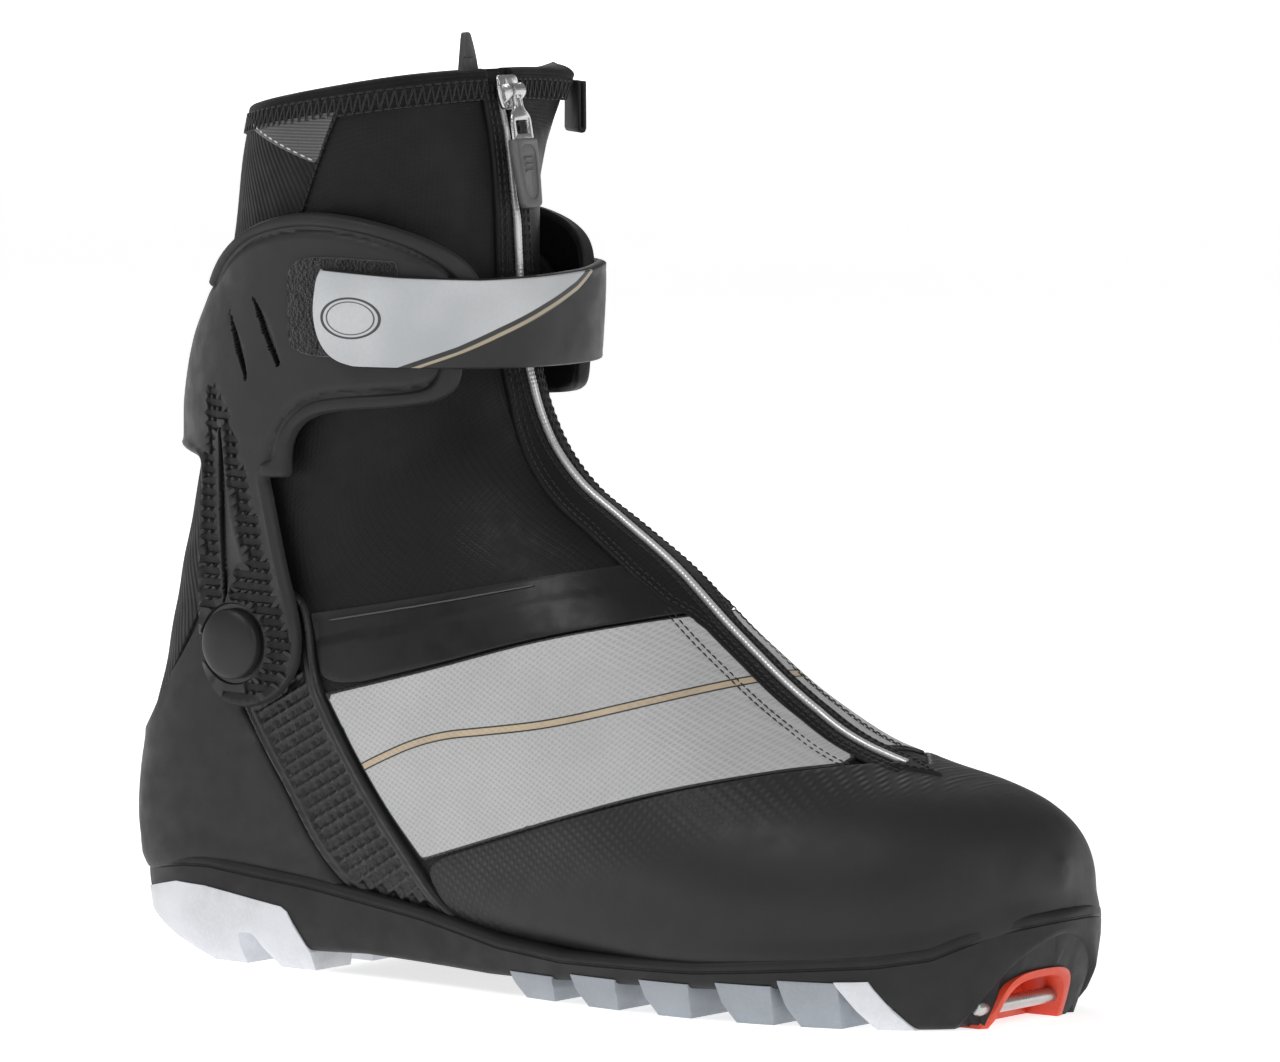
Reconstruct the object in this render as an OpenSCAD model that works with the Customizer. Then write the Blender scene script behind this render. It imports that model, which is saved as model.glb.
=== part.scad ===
// Cross-country skating boot, right foot, EU size 38-39.
// X runs to the toe, Y to the inner (medial) side and Z up. The origin is on
// the floor, straight below the axis on which the cuff turns.

/* [Upper] */
// Thickness of the softshell upper
upper_t = 1.8; // [1.4:0.1:2]
// Thickness of the quilted lining
lining_t = 3.2; // [2:0.1:3.4]
// Thickness of the bonded panels and the toe cap
panel_t = 1; // [0.6:0.1:1.2]
// Thickness of the moulded heel counter and side braces
counter_t = 1.6; // [1:0.1:1.8]
// Thickness of the tongue
tongue_t = 3.4; // [2.5:0.1:3.6]
// Height of the binding round the collar
binding_h = 5; // [4:0.5:7]

/* [Cuff] */
// Height of the cuff's turning axis above the floor
pivot_z = 83.5; // [82:0.5:85]
// Thickness of the moulded cuff
cuff_t = 2.6; // [2:0.1:2.8]
// Diameter of each pivot rivet
rivet_d = 8; // [6:0.5:8]
// Radial play between a rivet and its bush
rivet_play = 0.05; // [0.02:0.01:0.08]
// Diameter of the domed pivot caps
cap_d = 16; // [14:0.5:18]

/* [Strap] */
// Width of the cuff strap, top to bottom
strap_h = 25; // [20:1:26]
// Height of the lower edge of the strap
strap_z = 156; // [154:1:158]
// Thickness of the strap
strap_t = 2.2; // [1.6:0.1:2.4]

/* [Sole] */
// Width of each guide groove
groove_w = 9; // [7:0.5:10]
// Distance between the middles of the two guide grooves
groove_gap = 25; // [24:0.5:27]
// Height of the roof of the guide grooves above the floor
groove_h = 7; // [5:0.5:7.5]

/* [Toe bar] */
// Diameter of the steel bar that the binding grips
bar_d = 4; // [3.8:0.1:4.2]
// Free length of the bar between the pocket walls
bar_free = 25; // [24:0.5:26]
// Height of the middle of the bar above the floor
bar_z = 5.5; // [5:0.25:6]

/* [Zip] */
// Width of the zip's chain
chain_w = 5; // [4:0.5:6]
// Width of the slider
slider_w = 8; // [7:0.5:9]

/* [Hidden] */

// The last: one row per section, each a plane through a point on the instep line
// and a point on the sole or heel line. A row is [instep point, sole point, outer
// half width, inner half width, middle, height of the widest place from -1 at the
// sole to 1 at the instep, upper exponent, lower exponent].
SECTIONS = [
    [[224, 41], [224.5, 33], 4, 4, 5, 0, 2, 2],
    [[220, 49], [222, 22], 19, 18, 5, -0.1, 2, 3],
    [[211, 54.3], [216, 17], 28, 27, 4.5, -0.2, 2.1, 4.5],
    [[197, 58], [205, 14], 37, 36, 4, -0.3, 2.2, 6],
    [[181, 61.8], [188, 12], 43, 42, 2.5, -0.35, 2.1, 7],
    [[164, 68], [166, 12], 47, 45, 1, -0.4, 1.9, 7],
    [[147, 78], [142, 12], 48.5, 46, 0, -0.4, 1.8, 7],
    [[129, 91], [116, 13], 46.5, 44, 0, -0.4, 1.8, 7],
    [[111, 105.5], [90, 14], 43, 40.5, 0, -0.35, 1.9, 7],
    [[94, 116.5], [62, 16], 39.5, 37.5, 0, -0.3, 2, 6.5],
    [[81.5, 124.5], [32, 17.5], 37, 35.5, 0, -0.25, 2, 6],
    [[72.5, 133.5], [2, 18], 35.5, 34.5, 0, -0.2, 2.05, 6],
    [[67, 143], [-25, 18.5], 35, 34, 0, -0.15, 2.1, 6],
    [[63.5, 153], [-43, 23], 34.5, 34, 0, -0.1, 2.1, 4.5],
    [[61.5, 162], [-48.5, 40], 34.5, 34, 0, -0.05, 2.15, 3.2],
    [[60.5, 170], [-47.5, 63], 35, 34.5, 0, 0, 2.2, 2.2],
    [[60, 178], [-42, 88], 35.5, 35, 0, 0, 2.2, 2.1],
    [[59.5, 186.5], [-36, 112], 35.5, 35, 0, 0, 2.2, 2.1],
    [[59, 195], [-30.5, 138], 35.5, 35.5, 0, 0, 2.2, 2.1],
    [[58, 204.5], [-25.5, 164], 35.5, 36, 0, 0, 2.2, 2.1],
    [[56.5, 214], [-20.5, 186], 35.5, 37, 0, 0, 2.3, 2.1],
    [[54.5, 222.5], [-17.5, 205], 35.5, 39, 0, 0, 2.4, 2.1],
    [[53, 231], [-14.5, 219.5], 35.5, 41, 1, 0, 2.5, 2.1]];
collar_i = len(SECTIONS) - 1;

// How far the collar's front inner corner stands out, in the last sections
FLARE = [0.5, 2.7, 5.8, 8];
ring_n = 24;

// The cuff's outer surface, by height: [z, middle, rear half depth, front half
// depth, half width, rear exponent, front exponent].
CUFF = [
    [60, -4, 46, 56, 40.5, 5, 5],
    [84, -2, 45, 56, 40.5, 4.5, 4.5],
    [104, 2, 43.5, 57, 40.5, 3.2, 3.6],
    [118, 5, 46, 57, 40.8, 2.3, 3.1],
    [130, 8, 47, 57.5, 41.3, 2, 2.8],
    [145, 11, 49.5, 58, 41.5, 2, 2.6],
    [160, 14, 49.5, 57, 41, 2, 2.5],
    [175, 16, 44, 56, 40.5, 2, 2.5],
    [198, 17, 41, 55, 40, 2, 2.5]];
cuff_n = 36;
pivot_y = 40.5;
head_y = 29.8;

// The sole's footprint: [x, outer half width, inner half width].
PLAN = [
    [-50, 8, 8], [-47.8, 15, 14.5], [-43, 23, 22], [-34.5, 30.5, 29.5], [-21, 35.5, 34.5],
    [0, 37.5, 36.5], [30, 38, 37], [60, 40, 38.5], [90, 44.5, 42.5], [116, 48.5, 46],
    [142, 50.3, 48], [166, 48.5, 47.8], [188, 43, 46.5], [204, 36, 42], [215, 27, 35.5],
    [222, 17, 26.5], [225.5, 8, 16]];
plan_mid = 84;
plan_len = 142;
plan_half = 44;

// Side views, as [x, z] points. The sole's upper edge runs from the heel to the toe.
SOLE_EDGE = [
    [-64, 20.5], [-42, 22.3], [-22, 25.5], [-12, 26], [22, 23], [61, 18], [87, 13.5],
    [109, 12], [152, 13], [200, 17], [211, 19], [222, 25], [232, 28]];
SOLE_UNDER = [
    [228, 24], [223, 14], [217, 0], [204, 0], [197, 11], [184, 10.5], [163, 8.5],
    [139, 7.5], [113, 6.6], [97, 5.4], [80, 5], [57, 5.6], [38, 6.1], [23, 5.4], [17, 5.4],
    [12, 10.5], [-27, 10.5], [-47, 15.5], [-64, 18]];
HEEL_TREAD = [
    [-52, 15], [-48, 15], [-15, 0], [-3.5, 0], [-2.5, 8.5], [2.4, 8.5], [8.2, 0], [19.4, 0],
    [20.4, 5], [17.2, 11], [13.6, 16.4], [-12, 19.6], [-26, 19.6], [-42, 17.5]];
COUNTER = [
    [-62, 58], [-38, 58], [-30, 70], [-20, 82], [-12, 93], [0, 98], [11, 98],
    [14, 88], [11, 74], [-1, 68], [5, 58], [14, 46], [26, 29], [38, 19]];
BRACE = [
    [14, 98.5], [18, 95], [21, 90], [22.5, 84], [25, 72], [42, 48], [58, 32], [84, 11],
    [38, 11], [38, 19.2], [26.2, 29.2], [14.2, 46.2], [5.2, 58.2], [-0.6, 67.8],
    [11.2, 73.8], [14.2, 88]];
VAMP = [
    [26, 71.5], [60, 80], [92, 89], [115, 93.5], [132, 96], [190, 70], [176, 61], [161, 59.5],
    [142, 55.5], [108, 46], [60, 31.5], [43, 48.2]];
TOE_CAP = [
    [60.2, 31], [108, 45.7], [142, 55.2], [161, 59.2], [176, 60.7], [183, 68], [240, 68],
    [240, 6], [84, 6], [84.4, 11.3]];
BAND = [
    [21.5, 91.5], [60, 98.5], [92, 105], [125, 108], [131.5, 96.4], [114.8, 93.9],
    [91.8, 89.4], [59.8, 80.4], [25.5, 72.2], [23.2, 84]];
GUSSET_LOW = [[-70, 96], [12, 98.7], [40, 102], [80, 110], [120, 130]];
GUSSET_HIGH = [[-70, 124], [0, 127], [40, 138], [66, 156], [120, 200]];
CUFF_SIDE = [
    [-45, 166], [-20, 172], [-8, 182], [5, 189], [22, 193], [37, 192], [50, 189.5],
    [58, 186], [63, 182], [66, 176], [63, 156], [60, 149.5], [54, 147.5], [32, 146], [22, 143],
    [17.5, 136], [17.5, 128.5], [12, 128], [13, 118], [16, 104], [19, 95], [21, 86],
    [20, 78], [15, 71.5], [7, 67.5], [-1, 67], [-7, 70], [-11, 76], [-12.5, 84],
    [-12.5, 127], [-16, 131], [-45, 131]];
TRIM_TOP = [
    [-19, 174], [-8, 183], [5, 190], [22, 194], [38, 193], [51, 190], [59, 186.5],
    [64.5, 182], [67, 175], [63, 176], [61, 180], [57, 182.5], [50, 186], [37, 189],
    [22, 190], [6, 186], [-6, 179], [-15, 172]];
TRIM_LOW = [
    [63, 158], [62.5, 152], [60, 148.5], [54, 146.5], [32, 145], [23, 142], [18.5, 136],
    [18.5, 127.5], [10.5, 127], [10.5, 138], [15, 145], [24, 150], [52, 151.5], [57, 153],
    [58.5, 158]];
FACING_HALF = [[40, 5], [60, 6], [80, 8], [110, 12], [150, 14], [185, 16]];

// Strap and ring
strap_gap = 2.1;
strap_end_x = 23;
ring_x = 30;
ring_y = 45.6;
ring_wire_r = 1.5;
ring_back_x = 21;

// Zip slider and pull. The slide runs along ZIP_DIR, and the pull hangs beside it.
slider_at = [55.2, 0, 224];
zip_tilt = 9.5;
pull_out = 5.1;
link_l = 13;
tab_l = 17;
pin_r = 0.8;
pin_play = 0.06;

// Toe pocket
bar_x = 216;
pocket_wall = 2.2;
pocket_roof = 11;
pocket_back = 206;

C_BLACK = "#1c1c1e";
C_DARK = "#2b2c2d";
C_GREY = "#3c3d3e";
C_SILVER = "#c9cacb";

function powered(c, p) = sign(c) * pow(abs(c), p);

// How far a section near the toe tip moves forward as the surface grows
function nose(i) = max(0, 1 - i / 4);

function flare(i) = i > collar_i - len(FLARE) ? FLARE[i - collar_i + len(FLARE) - 1] : 0;
function corner(v) = v > 262 && v < 345 ? pow(sin((v - 262) * 180 / 83), 2) : 0;

// One section of the last, grown outwards by d
function section(i, d) =
    let(s = SECTIONS[i], axis = (s[0] - s[1]) / norm(s[0] - s[1]), push = [d * nose(i), 0],
        top = s[0] + axis * d + push, low = s[1] - axis * d + push)
    [for (k = [0:ring_n - 1])
        let(v = 360 * k / ring_n, up = cos(v), side = sin(v), n = up > 0 ? s[6] : s[7],
            h = up > 0 ? s[5] + (1 - s[5]) * pow(up, 2 / n)
                       : s[5] - (1 + s[5]) * pow(-up, 2 / n),
            p = low + (top - low) * (h + 1) / 2,
            half = side > 0 ? s[2] : s[3], out = flare(i) * corner(v))
        [p.x + 0.8 * out, s[4] - (half + d) * powered(side, 2 / n) + 0.6 * out, p.y]];

// One level of the cuff surface, grown outwards by d
function level(row, d) =
    [for (k = [0:cuff_n - 1])
        let(v = 360 * k / cuff_n, c = cos(v), s = sin(v),
            n = c > 0 ? row[6] : row[5], a = (c > 0 ? row[3] : row[2]) + d)
        [row[1] + a * powered(c, 2 / n), -(row[4] + d) * powered(s, 2 / n), row[0]]];

// The footprint of the sole, drawn in by d, at height z
function footprint(d, z) =
    let(kx = 1 - d / plan_len, ky = 1 - d / plan_half)
    concat([for (p = PLAN) [plan_mid + (p.x - plan_mid) * kx, p.z * ky, z]],
        [for (i = [len(PLAN) - 1:-1:0])
            [plan_mid + (PLAN[i].x - plan_mid) * kx, -PLAN[i].y * ky, z]]);

function moved(ring, by) = [for (p = ring) p + by];
function collar_z(x) = 219.5 + (x + 14.5) * 11.5 / 67.5;

// A closed solid through rings of points of equal number
module loft(rings) {
    n = len(rings[0]);
    last = len(rings) - 1;
    polyhedron([for (r = rings) each r], concat(
        [[for (k = [n - 1:-1:0]) k]],
        [for (i = [0:last - 1], k = [0:n - 1])
            [i * n + k, i * n + (k + 1) % n, (i + 1) * n + (k + 1) % n, (i + 1) * n + k]],
        [[for (k = [0:n - 1]) last * n + k]]));
}

// The last from one section to another, grown by d. With open = true it runs
// past the collar, so that what it cuts is left open there.
module last_solid(d, from = 0, to = collar_i, open = false) {
    rings = [for (i = [from:to]) section(i, d)];
    loft(open ? concat(rings, [moved(rings[len(rings) - 1], [-1, 0, 9])]) : rings);
}

// A skin over the last between two offsets
module skin(inner, outer, from = 0) {
    difference() {
        last_solid(outer);
        last_solid(inner, from, open = true);
    }
}

module cuff_solid(d) loft([for (row = CUFF) level(row, d)]);

// A side view pushed across the boot from y = a to y = b
module across(points, a = -70, b = 70)
    translate([0, b, 0]) rotate([90, 0, 0]) linear_extrude(b - a) polygon(points);

// Everything above or below a line in the side view
function above(line) = concat(line, [[line[len(line) - 1].x, 260], [line[0].x, 260]]);
function below(line) = concat(line, [[line[len(line) - 1].x, -20], [line[0].x, -20]]);

// What is inside is rebuilt as one closed mesh
module as_mesh() resize([0, 0, 0]) children();

module on_side(side) if (side < 0) across([[-80, -5], [260, -5], [260, 260], [-80, 260]], -70, 0);
    else across([[-80, -5], [260, -5], [260, 260], [-80, 260]], 0, 70);

// The strip over the instep that the zip facing covers, and what is beside it
module instep_strip(grow = 0)
    translate([0, 0, 50]) linear_extrude(220) polygon(concat(
        [for (p = FACING_HALF) [p.x, -p.y - grow]],
        [for (i = [len(FACING_HALF) - 1:-1:0]) [FACING_HALF[i].x, FACING_HALF[i].y + grow]]));

// ---- Sole ----

module sole_block()
    loft([footprint(7, 0), footprint(3.5, 5), footprint(1.2, 11), footprint(0, 20),
        footprint(0, 34)]);

module grooves()
    for (side = [-1, 1])
        translate([-70, side * groove_gap / 2 - groove_w / 2, -1])
            cube([272, groove_w, groove_h + 1]);

// The room that the heel tread takes up: it reaches up round a core of outsole
module heel_tread_room()
    difference() {
        union() {
            across(HEEL_TREAD);
            across([[-12, 0], [8, 0], [8, 8.5], [-12, 8.5]], (groove_w - groove_gap) / 2,
                (groove_gap - groove_w) / 2);
        }
        translate([-38, -24, 9]) cube([70, 48, 30]);
    }

// The shank lies in a recess that is open towards the foot
SHANK_TOP = [[-22, 17], [3, 16.6], [32, 16], [62, 14.2], [90, 12], [108, 11]];
module shank_shape(grow = 0, rise = 0)
    across(concat([for (p = SHANK_TOP) p + [sign(p.x - 43) * grow, rise]],
        [for (i = [len(SHANK_TOP) - 1:-1:0])
            SHANK_TOP[i] + [sign(SHANK_TOP[i].x - 43) * grow, -2.2 - grow]]),
        -11 - grow, 11 + grow);

module pocket_outer()
    across([[pocket_back - pocket_wall, -1], [232, -1], [232, pocket_roof + pocket_wall],
        [pocket_back - pocket_wall, pocket_roof + pocket_wall]],
        -bar_free / 2 - pocket_wall, bar_free / 2 + pocket_wall);

module pocket_inner()
    across([[pocket_back, -2], [240, -2], [240, pocket_roof + 2.5], [222, pocket_roof],
        [pocket_back + 3, pocket_roof], [pocket_back, pocket_roof - 3]],
        -bar_free / 2, bar_free / 2);

module bar_hole()
    translate([bar_x, 0, bar_z]) rotate([90, 0, 0]) cylinder(h = 44, r = bar_d / 2 + 0.12,
        center = true, $fn = 32);

module outsole() {
    color(C_BLACK) as_mesh() difference() {
        intersection() {
            sole_block();
            across(concat(SOLE_EDGE, SOLE_UNDER));
        }
        last_solid(0.15);
        heel_tread_room();
        shank_shape(0.1, 5);
        pocket_outer();
        grooves();
        bar_hole();
    }
}

module heel_tread() {
    color("#e9eaec") as_mesh() difference() {
        intersection() {
            sole_block();
            heel_tread_room();
        }
        grooves();
    }
}

// One lug: a tapered block across the sole between y = a and y = b
module lug(x, w_top, w_low, roof, a, b)
    across([[x - w_low / 2, 0], [x + w_low / 2, 0], [x + w_top / 2, roof],
        [x - w_top / 2, roof]], a, b);

LUG_X = [98, 120, 143, 166, 183];
lug_top = 11;
module under_the_sole()
    across(below([for (i = [len(SOLE_UNDER) - 5:-1:3]) SOLE_UNDER[i] - [0, 0.05]]));

module forefoot_lugs() {
    inner_edge = groove_gap / 2 + groove_w / 2;
    rib_half = groove_gap / 2 - groove_w / 2;
    color("#c3c6ca") as_mesh() intersection() {
        sole_block();
        difference() {
            for (i = [0:len(LUG_X) - 1]) {
                for (side = [-1, 1])
                    lug(LUG_X[i], 15, 10, lug_top, side < 0 ? -52 : inner_edge,
                        side < 0 ? -inner_edge : 52);
                lug(LUG_X[i], 17, 15, lug_top, -rib_half, rib_half);
            }
            across(below([[40, 0.4], [110, 0.4], [196, 0.4]]));
        }
        under_the_sole();
    }
}

module strut_lugs() {
    color("#e9eaec") as_mesh() intersection() {
        sole_block();
        for (side = [-1, 1])
            across([[191.6, 12], [196.6, 12], [203.8, 0], [197, 0]],
                side < 0 ? -52 : 19, side < 0 ? -19 : 52);
        under_the_sole();
    }
}

module shank() {
    color("#222222") shank_shape();
}

module toe_pocket() {
    color("#d8402e") as_mesh() difference() {
        intersection() {
            sole_block();
            across(concat(SOLE_EDGE, SOLE_UNDER));
            pocket_outer();
        }
        pocket_inner();
        last_solid(0.15);
        bar_hole();
    }
}

module toe_bar() {
    color("#b9bcbf") translate([bar_x, 0, bar_z]) rotate([90, 0, 0])
        cylinder(h = bar_free + 14, d = bar_d, center = true, $fn = 48);
}

// ---- Foot ----

board_top = [[-70, 24], [-50, 23.5], [-28, 22.5], [3, 22], [32, 21.5], [62, 20], [90, 18],
    [116, 17], [142, 16], [188, 16], [205, 18.5], [240, 30]];
function raised(line, by) = [for (p = line) [p.x, p.y + by]];
inner_d = -0.2 - upper_t;
lining_d = inner_d - 0.3;

module lasting_board() {
    color("#8a8378") as_mesh() intersection() {
        last_solid(lining_d, 2);
        across(below(board_top));
    }
}

module footbed() {
    color("#565a5e") as_mesh() intersection() {
        last_solid(lining_d, 2);
        across(below(raised(board_top, 4.4)));
        across(above(raised(board_top, 0.3)));
    }
}

module pivot_holes(r)
    translate([0, 0, pivot_z]) rotate([90, 0, 0]) cylinder(h = 140, r = r, center = true, $fn = 32);

module foot_upper() {
    color(C_BLACK) as_mesh() difference() {
        intersection() {
            skin(inner_d, -0.2, 1);
            across(below(GUSSET_LOW));
        }
        pivot_holes(rivet_d / 2 + 0.25);
    }
}

module lining_slot()
    translate([0, 0, 40]) linear_extrude(200) polygon([[58, -14], [100, -16], [150, -15],
        [150, 15], [100, 16], [58, 14]]);

module foot_lining() {
    color("#4a4b4d") as_mesh() difference() {
        intersection() {
            skin(lining_d - lining_t, lining_d, 2);
            across(below(raised(GUSSET_LOW, -0.3)));
            across(above(raised(board_top, 4.7)));
        }
        lining_slot();
        pivot_holes(10);
    }
}

module ankle_gusset() {
    color(C_BLACK) as_mesh() intersection() {
        skin(inner_d, -0.2, 1);
        across(above(raised(GUSSET_LOW, 0.1)));
        across(below(GUSSET_HIGH));
    }
}

module ankle_lining() {
    color("#4a4b4d") as_mesh() difference() {
        intersection() {
            skin(lining_d - lining_t, lining_d, 2);
            across(above(GUSSET_LOW));
            across(below(raised(GUSSET_HIGH, -0.3)));
        }
        lining_slot();
        pivot_holes(10);
    }
}

module overlay(points, t, side = 0)
    difference() {
        intersection() {
            skin(0.05, 0.05 + t);
            across(points);
            across(above(raised(SOLE_EDGE, 0.15)));
            if (side != 0) on_side(side);
        }
        instep_strip(0.3);
    }

module heel_counter() {
    color(C_DARK) as_mesh() difference() {
        overlay(concat(COUNTER, [[38, 5], [-62, 5]]), counter_t);
        pivot_holes(rivet_d / 2 + 0.25);
    }
}

module brace(side) {
    color(C_BLACK) as_mesh() overlay(BRACE, counter_t, side);
}
module brace_lateral() brace(-1);
module brace_medial() brace(1);

module toe_cap() {
    color(C_DARK) as_mesh() overlay(TOE_CAP, panel_t);
}

module vamp_panel(side) {
    color(C_SILVER) as_mesh() overlay(VAMP, panel_t, side);
}
module vamp_panel_lateral() vamp_panel(-1);
module vamp_panel_medial() vamp_panel(1);

module quarter_band(side) {
    color(C_DARK) as_mesh() overlay(BAND, panel_t, side);
}
module quarter_band_lateral() quarter_band(-1);
module quarter_band_medial() quarter_band(1);

tongue_d = lining_d - lining_t - 1.3;
module tongue() {
    color("#303133") as_mesh() intersection() {
        skin(tongue_d - tongue_t, tongue_d, 3);
        across([[150, 40], [158, 90], [96, 130], [74, 160], [72, 206], [40, 206], [38, 168],
            [48, 140], [64, 112], [92, 92], [122, 62]]);
        translate([30, -26, 30]) cube([140, 52, 200]);
    }
}

// A point over the instep: section i, angle v from the instep line, depth d
function instep_point(i, v, d) =
    let(s = SECTIONS[i], axis = (s[0] - s[1]) / norm(s[0] - s[1]), n = s[6],
        p = s[1] + (s[0] - s[1]) * ((s[5] + (1 - s[5]) * pow(cos(v), 2 / n)) + 1) / 2 + axis * d)
    [p.x, s[4] - ((v > 0 ? s[2] : s[3]) + d) * powered(sin(v), 2 / n), p.y];

module rod(a, b, r)
    translate(a) rotate([0, acos((b - a).z / norm(b - a)), atan2((b - a).y, (b - a).x)])
        cylinder(h = norm(b - a), r = r, $fn = 8);

LACE_ROWS = [6, 7, 8, 9, 10, 11];
lace_v = 12;
module laces() {
    color("#151515") as_mesh() for (j = [0:len(LACE_ROWS) - 2], side = [-1, 1])
        let(d = side < 0 ? inner_d - 0.85 : inner_d - 2.35)
            rod(instep_point(LACE_ROWS[j], side * lace_v, d),
                instep_point(LACE_ROWS[j + 1], -side * lace_v, d), 0.55);
}

module lace_loops() {
    color("#26272a") as_mesh() for (i = LACE_ROWS, side = [-1, 1])
        let(p = instep_point(i, side * (lace_v + 3.6), inner_d - 1.9),
            run = SECTIONS[i + 1][0] - SECTIONS[i - 1][0])
            translate(p) rotate([0, 180 - atan2(run.y, run.x), 0]) cube([5, 1.4, 1.2], center = true);
}

module instep_facing() {
    color(C_BLACK) as_mesh() difference() {
        intersection() {
            skin(0.05, 0.75);
            instep_strip();
            across(above([[50, 158], [66, 158], [70, 110], [150, 40], [200, 40]]));
            across([[64, 158], [90, 158], [200, 80], [200, 50], [150, 50], [96, 90], [60, 120],
                [55, 158]]);
        }
        translate([30, -chain_w / 2 - 0.3, 0]) cube([152, chain_w + 0.6, 300]);
    }
}

module zip_lower() {
    color("#9a9c9e") as_mesh() intersection() {
        skin(0.05, 1.2);
        across([[62, 160], [90, 160], [181, 90], [178, 55], [120, 80], [90, 105], [55, 140]]);
        translate([30, -chain_w / 2, 0]) cube([148, chain_w, 300]);
    }
}

module zip_bottom_stop() {
    color(C_BLACK) as_mesh() intersection() {
        skin(0.8, 1.8);
        across([[178.3, 90], [188, 90], [188, 50], [178.3, 50]]);
        translate([170, 0, 50]) linear_extrude(60) polygon([[8.3, -5], [14.4, 0], [8.3, 5]]);
    }
}

// ---- Pivots ----

// Drawn for the outer side and turned round for the inner side
module pivot_frame(side)
    translate([0, 0, pivot_z]) rotate([side < 0 ? 90 : -90, 0, 0]) children();

module pivot_rivet(side) {
    color("#8f9294") pivot_frame(side) {
        translate([0, 0, head_y]) cylinder(h = 1.2, r = 9, $fn = 48);
        translate([0, 0, head_y + 1.2]) cylinder(h = pivot_y - head_y - 0.7, d = rivet_d, $fn = 48);
    }
}
module pivot_rivet_lateral() pivot_rivet(-1);
module pivot_rivet_medial() pivot_rivet(1);

module pivot_cap(side) {
    color(C_GREY) pivot_frame(side) translate([0, 0, pivot_y + 0.5]) rotate_extrude($fn = 64)
        polygon(concat([[0, 0], [cap_d / 2, 0], [cap_d / 2, 1]],
            [for (a = [15:15:90]) [cap_d / 2 * cos(a), 1 + 1.9 * sin(a)]]));
}
module pivot_cap_lateral() pivot_cap(-1);
module pivot_cap_medial() pivot_cap(1);

module pivot_bush(side) {
    color("#d6d3c8") pivot_frame(side) translate([0, 0, pivot_y - cuff_t]) difference() {
        cylinder(h = cuff_t, r = rivet_d / 2 + 2, $fn = 48);
        translate([0, 0, -1]) cylinder(h = cuff_t + 2, r = rivet_d / 2 + rivet_play, $fn = 48);
    }
}
module pivot_bush_lateral() pivot_bush(-1);
module pivot_bush_medial() pivot_bush(1);

// ---- Cuff ----

module cuff_shell() {
    color(C_GREY) as_mesh() difference() {
        intersection() {
            cuff_solid(0);
            across(CUFF_SIDE);
        }
        cuff_solid(-cuff_t);
        pivot_holes(rivet_d / 2 + 2.1);
        for (side = [-1, 1]) across(TRIM_TOP, side < 0 ? -60 : 0, side < 0 ? 0 : 60);
        across(TRIM_LOW);
    }
}

module cuff_trim() {
    color(C_DARK) as_mesh() difference() {
        intersection() {
            cuff_solid(0.6);
            union() {
                across(TRIM_TOP);
                across(TRIM_LOW);
            }
        }
        cuff_solid(-cuff_t + 0.4);
    }
}

module cuff_pad() {
    color("#1a1b1c") as_mesh() difference() {
        intersection() {
            cuff_solid(-cuff_t - 0.15);
            across([[-40, 138], [-40, 164], [-18, 168], [-4, 176], [20, 186], [42, 183], [52, 174],
                [52, 160], [46, 154], [24, 152], [4, 142]]);
        }
        last_solid(0.3, 9, open = true);
    }
}

module cuff_loop_pad() {
    color("#111112") as_mesh() difference() {
        intersection() {
            cuff_solid(1);
            across([[20, 161], [20, 180], [24, 183], [50, 182], [50, 160], [26, 158]], -60, 0);
        }
        cuff_solid(0.1);
        across(TRIM_TOP);
        across(TRIM_LOW);
    }
}

module shaft_upper() {
    color(C_BLACK) as_mesh() intersection() {
        skin(inner_d, -0.2, 1);
        across(above(raised(GUSSET_HIGH, 0.1)));
        across(below([[-60, collar_z(-60) - binding_h], [100, collar_z(100) - binding_h]]));
    }
}

module shaft_lining() {
    color("#4a4b4d") as_mesh() intersection() {
        skin(lining_d - lining_t, lining_d, 2);
        across(above(GUSSET_HIGH));
        across(below([[-60, collar_z(-60) - binding_h], [100, collar_z(100) - binding_h]]));
    }
}

module rear_panel() {
    color("#18181a") as_mesh() difference() {
        intersection() {
            skin(0.05, 0.8);
            across([[-50, 194], [19, 194], [31, collar_z(31) - binding_h - 0.2],
                [-50, collar_z(-50) - binding_h - 0.2]]);
        }
        across(patch_side(0.05));
    }
}

function patch_side(grow) = [[-7 - grow, collar_z(-7) - binding_h],
    [29.5 + grow, collar_z(29.5) - binding_h], [24.5 + grow, 206 - grow], [19, 206.5 - grow],
    [4, 209.5 - grow]];
module reflective_patches() {
    color("#77797b") as_mesh() intersection() {
        skin(0.05, 1);
        across(patch_side(0));
        across(below([[-60, collar_z(-60) - binding_h - 0.2], [100, collar_z(100) - binding_h - 0.2]]));
    }
}

module collar_binding() {
    color("#202022") as_mesh() difference() {
        intersection() {
            skin(lining_d - lining_t, 1);
            across(above([[-60, collar_z(-60) - binding_h + 0.1],
                [100, collar_z(100) - binding_h + 0.1]]));
        }
        translate([20, -slider_w / 2 - 0.6, 200]) cube([80, slider_w + 1.2, 60]);
    }
}

module collar_facing() {
    color(C_BLACK) as_mesh() difference() {
        intersection() {
            skin(0.05, 0.7);
            instep_strip();
            across([[40, 187], [90, 187], [90, collar_z(90) - binding_h - 0.2],
                [40, collar_z(40) - binding_h - 0.2]]);
        }
        translate([30, -chain_w / 2 - 0.3, 0]) cube([152, chain_w + 0.6, 300]);
    }
}

module zip_upper() {
    color("#9a9c9e") as_mesh() intersection() {
        skin(0.05, 1.2);
        across([[40, 162], [90, 162], [90, collar_z(90) - binding_h - 1],
            [40, collar_z(40) - binding_h - 1]]);
        translate([30, -chain_w / 2, 0]) cube([70, chain_w, 300]);
    }
}

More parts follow.
